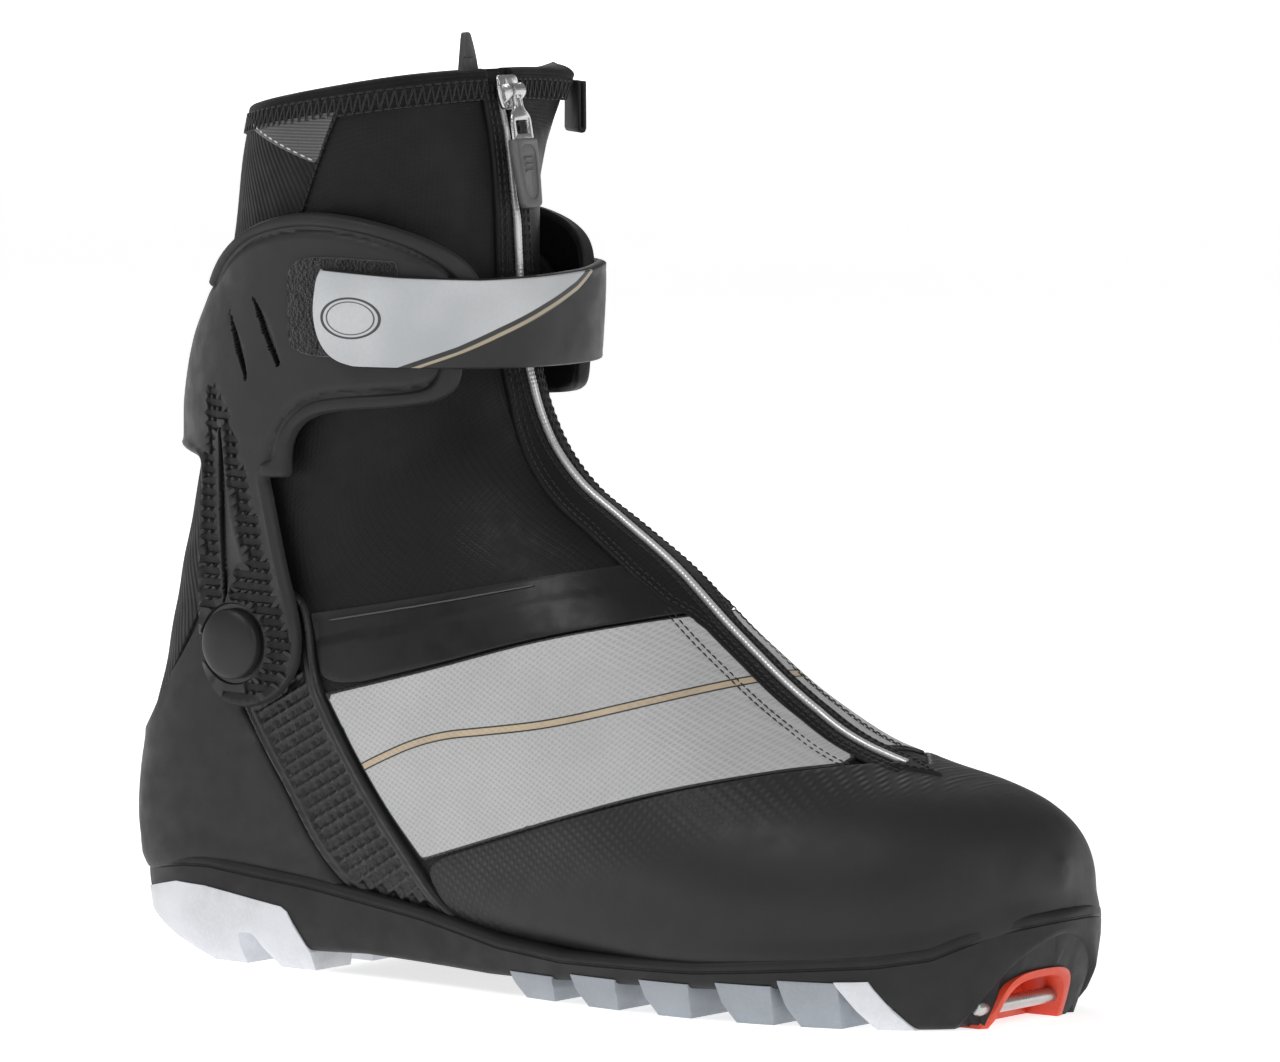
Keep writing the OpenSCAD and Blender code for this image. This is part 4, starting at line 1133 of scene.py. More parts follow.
def cell(x, pitch, wall):
    """1 inside a cell and 0 on the wall between two cells"""
    t = np.abs((x / pitch) % 1 - 0.5) * 2
    return 1 - ramp(t, 1 - 2 * wall / pitch, 1 - wall / pitch)


def brace_relief(p, dist):
    along, across = brace_axes(p)
    cells = cell(along, BRACE_PITCH[0], BRACE_WALL) * cell(across, BRACE_PITCH[1], BRACE_WALL)
    rim = 0.55 * near(dist, 1.0, 0.6) + 0.35 * near(dist, 2.6, 0.5) - 0.2 * near(dist, 1.8, 0.4)
    return rim - 0.75 * cells * ramp(dist, 3.2, 3.8)


for inner, tag in SIDES:
    lay(f"brace_{tag}", FOOT, side_ring(FOOT, BRACE, inner), "brace", "boot", "brace_rubber",
        (f"brace_{tag}",), t=1.5, r=0.6, h=0.5, relief=brace_relief)

# ---- silver panels, bands, toe cap ----

STRIPE = [(30, 49), (42, 55.5), (62, 63.5), (84, 66.5), (104, 69.5), (126, 75.5), (140, 79.5),
          (156, 84)]

VAMP_TOP = [(26, 72), (60, 80.3), (92, 89.3), (115, 94), (124, 95.5)]
VAMP_LOW = [(174, 61.4), (161, 59.7), (142, 55.7), (108, 46.2), (60.5, 31.9, 1.5), (43, 48.6),
            (26, 72)]
BAND_TOP = [(20.5, 92), (60, 98.8), (92, 105.2), (113, 108.5)]
BAND_LOW = [(121, 95.6), (114.8, 94.3), (91.8, 89.7), (59.8, 80.7), (25.5, 72.4), (23.2, 84),
            (20.5, 92)]
BAND_STEP = [(15, 83.5), (60, 91.5), (92, 99.2), (125, 104)]
HAIRLINE = [(27, 90.6), (60, 96.6), (86, 101.8)]


def face_edge(ua, ub, inner):
    """The zip facing's edge from ua to ub, where the panels go under it"""
    u = np.linspace(ua, ub, 120)
    z = np.interp(u, U_GRID, T_Z)
    t = np.interp(z, FACE_Z, FACE_T) - 0.5 + drift(z) * (-1 if inner else 1)
    b = FOOT.off(u, -t if inner else t)
    return np.stack([u, 1 + b if inner else b], 1)


def panel_ring(top, low, inner):
    """Outline of a side panel that runs up to the zip's facing"""
    top, low = (side_path(FOOT, line, inner) for line in (top, low))
    return join(top, face_edge(top[-1, 0], low[0, 0], inner), low)


def band_relief(p, dist):
    above = p[:, 2] - np.interp(p[:, 0], *zip(*BAND_STEP))
    return -0.35 * ramp(above, -0.4, 0.4) + 0.05 * ripple(p, 9)


for inner, tag in SIDES:
    lay(f"vamp_panel_{tag}", FOOT, panel_ring(VAMP_TOP, VAMP_LOW, inner), "vamp", "boot",
        "vamp_fabric", (f"vamp_panel_{tag}",), t=0.8, r=0.5, h=1.5, skirt=0.5,
        relief=lambda p, d: 0.18 * ripple(p, 12, 1.0),
        extra={"stripe": lambda p: over_line(p, STRIPE)})
    lay(f"quarter_band_{tag}", FOOT, panel_ring(BAND_TOP, BAND_LOW, inner), "band", "boot",
        "band_film", (f"quarter_band_{tag}",), t=0.8, r=0.4, h=1.3, skirt=0.5,
        relief=band_relief)
    hair = side_path(FOOT, HAIRLINE, inner)
    v, f = tube(FOOT.at(hair, 0.72), 0.22, 6, normals=FOOT.normal(hair))
    make(f"band_hairline_{tag}", v, f, K["line"], "boot")

TOE_EDGE = np.array([(179, 61.6), (174, 61.2), (161, 59.5), (142, 55.5), (108, 46), (84, 38.8),
                     (60.5, 31.5), (66, 23), (78, 12)], float)
TOE_COLS = 190
TOE_ROWS = 92
TOE_RIM = (1.4, 0.9, 0.5, 0.2, 0.05, 0)


def smoothed(x, reach, width):
    """A closed row of numbers, evened out by a bell curve"""
    k = np.exp(-0.5 * (np.arange(-reach, reach + 1) / width) ** 2)
    return np.convolve(np.concatenate([x[-reach:], x, x[:reach]]), k / k.sum(), "valid")


def toe_edge():
    """u of the toe cap's rear edge against b, over the outer half and the inner half"""
    us, bs = [], []
    for inner in (False, True):
        ab = foot_side(densify(TOE_EDGE, 1.0), inner)[0]
        order = np.argsort(ab[:, 1])
        us.append(ab[order, 0])
        bs.append(ab[order, 1])
    tip = np.interp(-186.5, -T_X, U_GRID)
    b = np.concatenate([[0], bs[0], [0.5], bs[1], [1.0]])
    return b, np.concatenate([[tip], us[0], [(us[0][-1] + us[1][0]) / 2], us[1], [tip]])


def toe_cap():
    b = np.arange(TOE_COLS) / TOE_COLS
    end = smoothed(np.interp(b, *toe_edge()), 6, 1.6)
    rear = np.stack([end, b], 1)
    scale = np.linalg.norm(FOOT.at(rear) - FOOT.at(rear - [0.05, 0]), axis=1) / 0.05
    rows = [end * s ** 0.92 for s in np.linspace(0, 1, TOE_ROWS)[:-1]]
    dist = [(end - u) * scale for u in rows]
    keep = [i for i in range(len(rows)) if dist[i].min() > 1.8]
    rows = np.array([rows[i] for i in keep] + [end - mm / scale for mm in TOE_RIM])
    dist = np.array([dist[i] for i in keep] + [np.full(TOE_COLS, mm) for mm in TOE_RIM])
    n, m = rows.shape
    ab = np.stack([rows.ravel(), np.tile(b, n)], 1)
    p = FOOT.at(ab)
    d = dist.ravel()
    lift = 0.05 + np.sqrt(np.clip(1 - (1 - np.clip(d / 1.2, 0, 1)) ** 2, 0, 1))
    lift += 0.15 * near(d, 2.2, 0.7)
    lift += 1.2 * ramp(sole_line(p[:, 0]) - p[:, 2], -7, 0) * ramp(d, 0, 6)
    f = two_layers(n, m, (n - 1,))
    f += [tuple(range(m)), tuple(n * m + k for k in reversed(range(m)))]
    d = np.concatenate([d, d])
    v = np.concatenate([FOOT.at(ab, lift), FOOT.at(ab, -0.6)])
    return v, f, np.tile(p[:, [0, 2]], (2, 1)), {"edge": d, "fade": ramp(22 - d, -16, 14)}


v, f, uv, at = toe_cap()
make("toe_cap", v, f, K["toe"], "boot", ("toe_cap",), uv, at)

# ---- rear panel, patches, collar ----

def collar_z(x):
    """Height of the collar's rim"""
    x1, z1, x0, z0 = LAST[-1][:4]
    return z0 + (x - x0) * (z1 - z0) / (x1 - x0)


BIND = 5.0
REAR_TOP = [(x, collar_z(x) - BIND) for x in (31.5, 10, -40)]
REAR_LOW = [(31.5, collar_z(31.5) - BIND), (25, 208), (19, 193), (7, 166), (-4, 140), (-9, 118),
            (-12, 100), (-22, 82), (-32, 69), (-40, 58), (-62, 54)]


def rear_relief(p, dist):
    fold = np.sin(p[:, 2] / 3.1 + 0.4 * np.sin(p[:, 1] / 9))
    return 0.16 * fold * near(p[:, 2], 92, 26) + 0.06 * ripple(p, 11, 3.0)


lay("rear_panel", FOOT, wrap_ring(FOOT, REAR_TOP, REAR_LOW, 1.1), "rear", "ankle", "rear_knit",
    ("rear_panel",), t=0.5, r=0.5, h=2.2, skirt=0.4, relief=rear_relief, uv="own")

seams = Cloud()
white = Cloud()
TRI = [(-6.5, 216.4, 1.2), (30.5, 221.8, 1.2), (24.2, 206.2, 2.0)]
for inner, tag in SIDES:
    stitch_row(seams, side_path(FOOT, REAR_LOW[:4] + [(2, 155)], inner), 0.55, 1.9, 1.6, 0.28)
    lay(f"reflective_patch_{tag}", FOOT, side_ring(FOOT, TRI, inner, 0.6), "reflect", "cuff",
        "reflective", () if inner else ("reflective_patches",),
        base=0.5, t=0.45, r=0.35, h=1.5, skirt=0.4)
    line = side_path(FOOT, [(-4.4, 215.2), (22.8, 205.6)], inner, smooth=False)
    stitch_row(white, line, 1.05, 2.3, 1.5, 0.24, (0.9, 0, 1.6))

BIND_COLS = 200
RIM_B = np.linspace(FOOT.off(U_END, 4.7), 1 + FOOT.off(U_END, -4.7), BIND_COLS)


def below_rim(mm, b=RIM_B):
    """(a, b) of points mm under the collar's rim"""
    return np.stack([U_END - mm / np.interp(b, RIM_B, RIM_SCALE), b], 1)


RIM_AB = np.stack([np.full(BIND_COLS, float(U_END)), RIM_B], 1)
RIM_UP = FOOT.at(RIM_AB) - FOOT.at(RIM_AB - [0.1, 0])
RIM_SCALE = np.linalg.norm(RIM_UP, axis=1) / 0.1
RIM_UP = RIM_UP / np.linalg.norm(RIM_UP, axis=1, keepdims=True)


def binding():
    """Band round the rim, rounded over the top and open at the zip"""
    lines = [FOOT.at(below_rim(mm), lift) for mm, lift in
             ((5.0, 0.45), (4.7, 0.95), (4.0, 1.1), (3.2, 1.1), (2.4, 1.1))]
    for a in np.radians(np.linspace(0, 180, 11)):
        lines.append(FOOT.at(below_rim(1.7), -2.25 + 3.35 * math.cos(a))
                     + RIM_UP * 1.7 * math.sin(a))
    lines += [FOOT.at(below_rim(mm), -5.6) for mm in (3.2, 4.4, 5.4)]
    n = len(lines)
    f = [(a, d, c, b) for a, b, c, d in quads(BIND_COLS, n)] + turned_over(caps(BIND_COLS, n))
    uv = np.array([(b * 240, k * 1.1) for b in RIM_B for k in range(n)])
    return np.stack(lines, 1).reshape(-1, 3), f, uv


v, f, uv = binding()
make("collar_binding", v, f, K["binding"], "cuff", ("collar_binding",), uv)

count = int(FOOT.half[-1].sum() / 1.25)
zigzag = np.where(np.arange(count) % 2, 2.7, 5.2)
s = np.linspace(RIM_B[0] + 0.002, RIM_B[-1] - 0.002, count)
seams.add(*tube(densify(FOOT.at(below_rim(zigzag, s), 1.18), 0.7), 0.26, 5))
for mm, lift in ((2.7, 1.16), (5.25, 0.7)):
    stitch_row(seams, below_rim(mm), lift, 2.5, 2.1, 0.24)

# ---- zip facings, zip, end arrow ----

FACE_TOP = 226.0
z = np.linspace(60.5, FACE_TOP, 160)
low_z = np.linspace(63.5, 100, 60)
for inner, tag in SIDES:
    sign = -1 if inner else 1
    t_out = sign * np.interp(z, FACE_Z, FACE_T) + drift(z)
    t_in = sign * 2.0 + drift(z)
    lay(f"zip_facing_{tag}", FOOT, join(instep(z, t_out), instep(z[::-1], t_in[::-1])),
        "softshell", "ankle", "facing", () if inner else ("instep_facing", "collar_facing"),
        base=0.35, t=0.75, r=0.6, h=1.3, skirt=0.5,
        relief=lambda p, d: 0.07 * ripple(p, 6, 5.0), uv="own")
    for t, radius in ((t_out - sign * 1.3, 0.26), (t_out - sign * 2.9, 0.22),
                      (t_in + sign * 1.5, 0.22)):
        stitch_row(seams, even(FOOT, instep(z, t), False, 0.8), 1.08, 2.1, 1.75, radius)
    for t in (11.6, 13.2):
        ab = even(FOOT, instep(low_z, sign * t + drift(low_z)), False, 0.8)
        stitch_row(seams, ab, 0.92, 2.2, 1.8, 0.2)

z = np.linspace(61.0, 225.5, 1400)
ab = even(FOOT, instep(z, drift(z)), False, 0.28)
sunk = ramp(FOOT.at(ab)[:, 2], 190, 200)
teeth = 0.03 * np.cos(np.arange(len(ab)) * np.pi / 2)
v, f = tube(FOOT.at(ab, 1.35 - 0.7 * sunk), 1.05 - 0.2 * sunk + teeth, 12, normals=FOOT.normal(ab))
make("zip_coil", v, f, K["zip"], "ankle", ("zip_lower", "zip_upper"))
z = z[::20]
ring = join(instep(z, drift(z) + 2.6), instep(z[::-1], drift(z[::-1]) - 2.6))
lay("zip_tape", FOOT, ring, "webbing", "ankle", "facing", base=0.1, t=0.3, r=0.3, h=1.6,
    skirt=0.3, uv="own")

ring = closed_up(instep([61.6, 58.6, 61.6], [10.6, 6.2, 1.2]))
lay("zip_end_arrow", FOOT, even(FOOT, densify(ring, 0.02)[:-1], True, 0.6), "band", "boot",
    "facing", ("zip_bottom_stop",), base=1.0, t=0.7, r=0.5, h=0.9, skirt=0.9, uv="own")
s = np.linspace(0, 1, 16)
for t in (9.6, 2.2):
    stitch_row(seams, instep(61.3 - 2.1 * s, t + (6.2 - t) * s), 1.75, 1.8, 1.5, 0.24)
seams.make("black_stitches", "thread", "ankle", "binding")
white.make("white_stitches", "thread_white", "cuff", "binding")

# ---- outsole ----

PLAN = np.array([
    [-50, 8, 8], [-47.8, 15, 14.5], [-43, 23, 22], [-34.5, 30.5, 29.5], [-21, 35.5, 34.5],
    [0, 37.5, 36.5], [30, 38, 37], [60, 40, 38.5], [90, 44.5, 42.5], [116, 48.5, 46],
    [142, 50.3, 48], [166, 48.5, 47.8], [188, 43, 46.5], [204, 36, 42], [215, 27, 35.5],
    [222, 17, 26.5], [225.5, 8, 16]], float)
UNDER = np.array([[-64, 18], [-47, 15.5], [-27, 10.5], [12, 10.5], [17, 5.4], [23, 5.4],
                  [38, 6.1], [57, 5.6], [80, 5], [97, 5.4], [113, 6.6], [139, 7.5], [163, 8.5],
                  [184, 10.5], [197, 11], [204, 0], [217, 0], [223, 14], [228, 24]], float)


SOLE_POINTS = 420


def plan_ring():
    """Smooth outline of the sole from above, with an outward direction"""
    pts = np.concatenate([[[-51.3, 0]], PLAN[:, [0, 1]] * [1, -1], [[227.2, 4.5]],
                          PLAN[::-1, [0, 2]]])
    run = travelled(closed_up(pts))
    wrap = np.concatenate([pts[-3:], pts, pts[:4]])
    k = np.interp(np.linspace(0, run[-1], 1600, endpoint=False), run, np.arange(len(run)))
    q = np.stack([smoothed(c, 26, 9.0) for c in spline(wrap, k + 3).T], 1)
    run = travelled(closed_up(q))
    t = np.linspace(0, run[-1], SOLE_POINTS, endpoint=False)
    q = np.stack([np.interp(t, run, np.append(c, c[0])) for c in q.T], 1)
    tan = np.roll(q, -1, 0) - np.roll(q, 1, 0)
    tan /= np.linalg.norm(tan, axis=1, keepdims=True)
    return q, np.stack([tan[:, 1], -tan[:, 0]], 1)


RIM, RIM_N = plan_ring()
RIM_S = travelled(RIM)


def inset(z):
    """How far the sole's side is drawn in at height z"""
    return np.interp(z, [0, 5, 11, 20], [7, 3.5, 1.2, 0])


def under(x):
    """Height of the sole's underside"""
    return np.interp(x, UNDER[:, 0], UNDER[:, 1])


def last_edge():
    """How far the last stands inside the sole's outline, at the sole's own top edge"""
    out = np.empty(len(RIM))
    for inner in (False, True):
        m = (RIM[:, 1] > 0) == inner
        x = np.clip(RIM[m, 0], -48, 222)
        p = FOOT.at(foot_side(np.stack([x, sole_line(x) + 2.0], 1), inner)[0], 1.2)
        out[m] = (RIM[m] * RIM_N[m]).sum(1) - (p[:, :2] * RIM_N[m]).sum(1)
    return out


def lid(v, uv, ring, first, points, height):
    """Flat net over a ring that starts at vertex first, at the height for each x"""
    flat, tris, src = triangulate(ring[:, :2], points)
    free = [i for i, s in enumerate(src) if not 0 <= s < len(ring)]
    place = {i: len(v) + k for k, i in enumerate(free)}
    tris = [tuple(place.get(i, first + src[i]) for i in t) for t in tris]
    flat = flat[free]
    return (np.concatenate([v, np.column_stack([flat, height(flat[:, 0])])]),
            np.concatenate([uv, flat]), tris)


def outsole_mesh():
    low = under(RIM[:, 0])
    top = sole_line(RIM[:, 0]) + 2.0
    lean = np.clip(last_edge(), 0.2, 6.0)
    lean = np.convolve(np.concatenate([lean[-4:], lean, lean[:4]]), np.ones(9) / 9, "valid")
    rows = []

    def row(z, inward):
        rows.append(np.column_stack([RIM - RIM_N * inward[:, None], z]))

    for more, up in ((1.6, 0.0), (0.7, 0.35), (0.2, 0.9), (0.0, 1.7)):
        row(low + up, inset(low + up) + more)
    for part in (0.4, 0.8):
        z = np.minimum(low + 1.7 + (top - low - 6.3) * part, top - 3.4)
        row(z, inset(z))
    for drop, more in ((3.2, 0.0), (2.95, 0.38), (2.6, 0.42), (2.35, 0.05), (1.6, 0.05)):
        z = np.maximum(top - drop, low + 1.8 + 0.05 * (5 - drop))
        row(z, inset(z) + more)
    for drop, part in ((0.7, 0.12), (0.2, 0.35), (0.0, 0.65), (-0.1, 1.0)):
        row(top - drop, inset(top - drop) + lean * part)
    row(top - 1.6, lean + 3.5)
    n, m = len(rows), len(RIM)
    v, f = np.concatenate(rows), quads(n, m)
    uv = np.concatenate([np.column_stack([RIM_S, r[:, 2]]) for r in rows])
    first, last = rows[0][:, :2], rows[-1]
    gx, gy = np.meshgrid(np.arange(-49, 226, 3.0), np.arange(-50, 50, 5.0))
    grid = np.column_stack([gx.ravel(), gy.ravel()])
    grid = np.concatenate([grid] + [np.column_stack([np.full(30, a), np.linspace(-50, 50, 30)])
                                    for a in (197.0, 204.0, 216.6)])
    grid = grid[inside(first, grid)]
    grid = grid[far(grid, first) > 1.2]
    v, uv, tris = lid(v, uv, first, 0, grid, under)
    f += turned_over(tris)
    grid = grid[::3]
    v, uv, tris = lid(v, uv, last, (n - 1) * m, grid[inside(last[:, :2], grid)],
                      lambda x: np.maximum(sole_line(x) - 0.6, 14.0))
    return v, f + tris, uv


def drop_object(obj):
    mesh = obj.data
    bpy.data.objects.remove(obj)
    bpy.data.meshes.remove(mesh)


def cut(obj, shape, mode="DIFFERENCE"):
    """Exact Boolean of an object with a solid's vertices and faces"""
    tool = raw(*shape)
    mod = obj.modifiers.new("cut", "BOOLEAN")
    mod.operation = mode
    mod.solver = "EXACT"
    mod.object = tool
    bpy.context.view_layer.update()
    old = obj.data
    evaluated = obj.evaluated_get(bpy.context.evaluated_depsgraph_get())
    obj.data = bpy.data.meshes.new_from_object(evaluated)
    obj.modifiers.clear()
    bpy.data.meshes.remove(old)
    drop_object(tool)


def raw(verts, faces):
    """A solid without a material"""
    me = bpy.data.meshes.new("tool")
    me.from_pydata((np.asarray(verts, float) * MM).tolist(), [], [list(f) for f in faces])
    bm = bmesh.new()
    bm.from_mesh(me)
    bmesh.ops.recalc_face_normals(bm, faces=bm.faces)
    bm.to_mesh(me)
    bm.free()
    return linked("tool", me)


def prism(poly, d0, d1, axis=1):
    """A flat outline pushed from d0 to d1 along an axis"""
    poly = np.asarray(poly, float)
    n = len(poly)
    lo, hi = np.insert(poly, axis, d0, 1), np.insert(poly, axis, d1, 1)
    f = [tuple(range(n)), tuple(n + i for i in reversed(range(n)))]
    f += [(i, n + i, n + (i + 1) % n, (i + 1) % n) for i in range(n)]
    return np.concatenate([lo, hi]), f


def bevelled(obj, width, segments, angle):
    mod = obj.modifiers.new("bevel", "BEVEL")
    mod.width = width * MM
    mod.segments = segments
    mod.limit_method = "ANGLE"
    mod.angle_limit = math.radians(angle)
    mod.harden_normals = True
    mod.use_clamp_overlap = True
    me = bpy.data.meshes.new_from_object(
        obj.evaluated_get(bpy.context.evaluated_depsgraph_get()))
    obj.modifiers.clear()
    obj.data = me
    me.polygons.foreach_set("use_smooth", [True] * len(me.polygons))
    return obj


def joined(name, parts, mat, body, replaces):
    """One piece out of one or more solids"""
    me = bpy.data.meshes.new(name)
    bm = bmesh.new()
    for p in parts:
        bm.from_mesh(p.data)
    bm.to_mesh(me)
    bm.free()
    for p in parts:
        drop_object(p)
    me.materials.append(K[mat])
    return settle(linked(name, me), body, replaces)


ARCH = [(-14, 0), (-13.4, 4.5), (-12, 8.4), (-9.4, 10.8), (-5, 11.8), (5, 11.8), (9.4, 10.8),
        (12, 8.4), (13.4, 4.5), (14, 0)]


def arch(grow, x0, x1, bottom):
    """The toe pocket's arch as a solid from x0 to x1, with its walls down to bottom"""
    s = soft_line([(y * (1 + grow / 13.5), z + grow * min(1, z / 8)) for y, z in ARCH], False, 0.6)
    s = np.concatenate([[[s[0, 0], bottom]], s, [[s[-1, 0], bottom]]])
    return prism(s, x0, x1, 0)


SOLE_LEVELS = [-1, 0, 2.5, 5, 8, 11, 15, 20, 24]
GROOVE_Y = 12.5
GROOVE_HALF = 4.5


def sole_column(grow):
    """The sole's outline from above as a solid, drawn in towards the floor"""
    n, m = len(SOLE_LEVELS), len(RIM)
    rings = [np.column_stack([RIM - RIM_N * (inset(max(z, 0)) - grow), np.full(m, z)])
             for z in SOLE_LEVELS]
    return np.concatenate(rings), quads(n, m) + caps(n, m)


v, f, uv = outsole_mesh()
sole = make("outsole", v, f, K["sole"], "boot", ("outsole",), uv)
for y in (-GROOVE_Y, GROOVE_Y):
    cut(sole, prism([(-70, 1), (202, 1), (202, 7), (-70, 7)], y - GROOVE_HALF, y + GROOVE_HALF))
cut(sole, arch(2.0, 206, 240, -4))
sole.data.set_sharp_from_angle(angle=math.radians(42))

pocket = raw(*arch(2.0, 206.05, 229, 0))
cut(pocket, arch(0.0, 208.3, 235, -4))
cut(pocket, sole_column(0.5), "INTERSECT")
cut(pocket, prism([(217.3, -2), (217.3, 0), (223.3, 14), (228.3, 24), (245, 24), (245, -2)],
                  -40, 40))
pocket.name = "toe_pocket"
bevelled(pocket, 0.45, 3, 40)
pocket.data.materials.clear()
pocket.data.materials.append(K["red"])
settle(pocket, "boot", ("toe_pocket",))

BAR_HALF = 19.2
y = np.linspace(-BAR_HALF, BAR_HALF, 40)
v, f = tube([(216, q, 5.5) for q in y], np.where(np.abs(y) > 18.8, 1.5, 2.0), 28)
make("toe_bar", v, f, K["steel"], "boot", ("toe_bar",), v[:, [1, 2]], sharp=40)


def tread(outline, grow, bevel, side, hollows=()):
    """A tread block: the side-view outline across the foot, cut to the sole's outline"""
    block = raw(*prism(outline, *side))
    cut(block, sole_column(grow), "INTERSECT")
    for hollow in hollows:
        cut(block, hollow)
    return bevelled(block, bevel, 3, 35)


def box3(x0, x1, y0, y1, z0, z1):
    """Vertices and faces of a box"""
    v = [(x, y, z) for x in (x0, x1) for y in (y0, y1) for z in (z0, z1)]
    f = [(0, 1, 3, 2), (4, 6, 7, 5), (0, 4, 5, 1), (2, 3, 7, 6), (0, 2, 6, 4), (1, 5, 7, 3)]
    return v, f


HEEL = [(-52, 15), (-47, 14.6), (-15, 0), (-3.5, 0), (-2.9, 7.9), (-2.2, 8.8), (1.6, 8.8),
        (2.8, 7.9), (8.2, 0), (19.4, 0), (20.4, 5), (17.2, 11), (14.8, 15.4), (13, 16.6),
        (-4, 18.9), (-13, 20.0), (-24, 20.2), (-31, 18.8), (-42, 16.5)]
HEEL_RIB = [(-12, 0), (8, 0), (8, 8.6), (-12, 8.6)]
STRUT = [(189.5, 12.2), (197.5, 12.6), (204.4, 0), (196.4, 0)]
hollows = [box3(-80, 204, y - GROOVE_HALF, y + GROOVE_HALF, -5, 6.2)
           for y in (-GROOVE_Y, GROOVE_Y)] + [box3(-38, 32, -24, 24, 9, 40)]
joined("heel_tread", [tread(HEEL, 0.4, 0.8, (-60, 60), hollows),
                      tread(HEEL_RIB, 0.4, 0.4, (-8, 8))],
       "white", "boot", ("heel_tread",))
blocks = []
for x in (98, 120, 143, 166, 183):
    roof = under(x) + 1.5
    for side, top, low in (((-60, -17), 15, 10), ((17, 60), 15, 10), ((-8, 8), 17, 15)):
        belly = low / 2 + (top - low) * 0.35
        outline = [(x - low / 2, 0), (x + low / 2, 0), (x + belly, roof * 0.5),
                   (x + top / 2, roof), (x - top / 2, roof), (x - belly, roof * 0.5)]
        blocks.append(tread(outline, 0.3, 1.0, side))
joined("forefoot_lugs", blocks, "grey", "boot", ("forefoot_lugs",))
joined("strut_lugs", [tread(STRUT, 0.5, 0.6, side) for side in ((-60, -18), (18, 60))],
       "white", "boot", ("strut_lugs",))

# ---- cuff ----

PIVOT = (0.0, 83.5)
CUFF_SIDE = [(-45, 166), (-20, 172), (-8, 182), (5, 189), (22, 193), (37, 192), (50, 189.5),
             (58, 186), (63, 182), (66, 176, 4), (63, 156, 4), (60, 149.5), (54, 147.5),
             (32, 146), (22, 143), (17.5, 136), (17.5, 128.5, 2.2), (10.8, 127.6, 2.0),
             (12.8, 118), (16, 104), (19, 95), (21, 86), (20, 78), (15, 71.5), (7, 67.5), (-1, 67),
             (-7, 70), (-11, 76), (-12.5, 84), (-12.5, 127), (-16, 131), (-45, 131)]
SHELL_TOP = CUFF_SIDE[9::-1]
SHELL_LOW = CUFF_SIDE[9:]
SLITS = [[(-3.2, 168.5, 0.3), (0.0, 160), (4.6, 151.3, 0.3), (5.4, 152, 0.3), (3.6, 160)],
         [(5.8, 173, 0.3), (10.2, 164), (15.4, 154.7, 0.3), (16.6, 155.6, 0.3), (13.8, 165)]]
FIN = [(-5.5, 138.3, 0.3), (-4.3, 117.6), (-3.4, 101), (-2.9, 94.4, 0.3), (-1.9, 95.4, 0.5),
       (-0.9, 101.2, 0.5), (3.4, 104.7, 0.5), (-1.0, 117.8), (-4.5, 138.2, 0.3)]
GRID = [(-12.2, 149), (-8, 150.5), (-3.4, 147), (0.6, 140.8), (3.6, 132.9), (5.2, 126.3),
        (7.4, 120.3), (10.2, 111.6), (13, 101.8), (15, 95.3), (18, 91), (19.4, 84), (18, 76),
        (13, 70.5), (6.2, 68), (0, 67.6), (-6, 69.8), (-10, 75), (-11.4, 82), (-11.6, 112),
        (-11.6, 128)]
GROOVES = [[(-14, 174.5), (-5, 181.5), (6, 187), (22, 190.2), (37, 189.2), (50, 186),
            (58, 182.2), (61.6, 178), (62.6, 174)],
           [(62, 160), (59.5, 152.6), (53, 150.2), (34, 149.2), (24, 147.2), (17, 142.5),
            (13.4, 136), (12.6, 130)]]
PITCH_X, PITCH_Z, WIDE, TALL, SLOPE, DEPTH = 2.4, 2.86, 1.8, 2.2, 0.25, 0.85
LEAN_X, LEAN_Z = 0.10, 0.04
CHANNEL = 1.15
SLOT_DEEP = 1.5


def to_edge(xz, outline):
    """Distance inside an outline of the side view, below 0 outside it"""
    q = soft_line(outline)
    d = far(xz, q)
    return np.where(inside(q, xz), d, -d)


def leaned(xz):
    """Rows and columns of the grid of squares"""
    return np.column_stack([(xz[:, 0] + LEAN_X * (xz[:, 1] - PIVOT[1])) / PITCH_X,
                            (xz[:, 1] + LEAN_Z * xz[:, 0]) / PITCH_Z])


def unleaned(q):
    """(x, z) of places on the grid of squares"""
    x, z = q[:, 0] * PITCH_X, q[:, 1] * PITCH_Z
    x = (x - LEAN_X * (z - PIVOT[1])) / (1 - LEAN_X * LEAN_Z)
    return np.column_stack([x, z - LEAN_Z * x])


def square_ids():
    """The squares of the grid that lie clear of the rim, the fin and the pivot cap"""
    i, k = np.meshgrid(np.arange(-12, 14), np.arange(20, 56))
    ids = np.column_stack([i.ravel(), k.ravel()])
    c = unleaned(ids + 0.5)
    ok = (to_edge(c, GRID) > 0.95) & (to_edge(c, FIN) < -1.35)
    ok &= np.hypot(c[:, 0] - PIVOT[0], c[:, 1] - PIVOT[1]) > 11.7
    return ids[ok]


SQUARES = square_ids()
KNOWN = {tuple(q) for q in SQUARES}


def square_depth(xz):
    """1 on the floor of a square recess and 0 outside it"""
    q = leaned(xz)
    ids = np.floor(q).astype(int)
    local = np.abs(q - ids - 0.5) * [PITCH_X, PITCH_Z]
    gap = np.minimum(WIDE / 2 - local[:, 0], TALL / 2 - local[:, 1])
    hit = np.array([tuple(c) in KNOWN for c in ids])
    return hit * np.clip(gap / SLOPE, 0, 1) * (1.05 - 0.4 * (q - ids).min(1))


def span(line, z):
    """Rear and front x of an outline at height z"""
    q = soft_line(line)
    r = np.roll(q, -1, 0)
    hit = (q[:, 1] - z) * (r[:, 1] - z) <= 0
    q, r = q[hit], r[hit]
    if not len(q):
        return 0.0, 0.0
    t = (z - q[:, 1]) / np.where(q[:, 1] == r[:, 1], 1, r[:, 1] - q[:, 1])
    x = q[:, 0] + np.clip(t, 0, 1) * (r[:, 0] - q[:, 0])
    return x.min(), x.max()


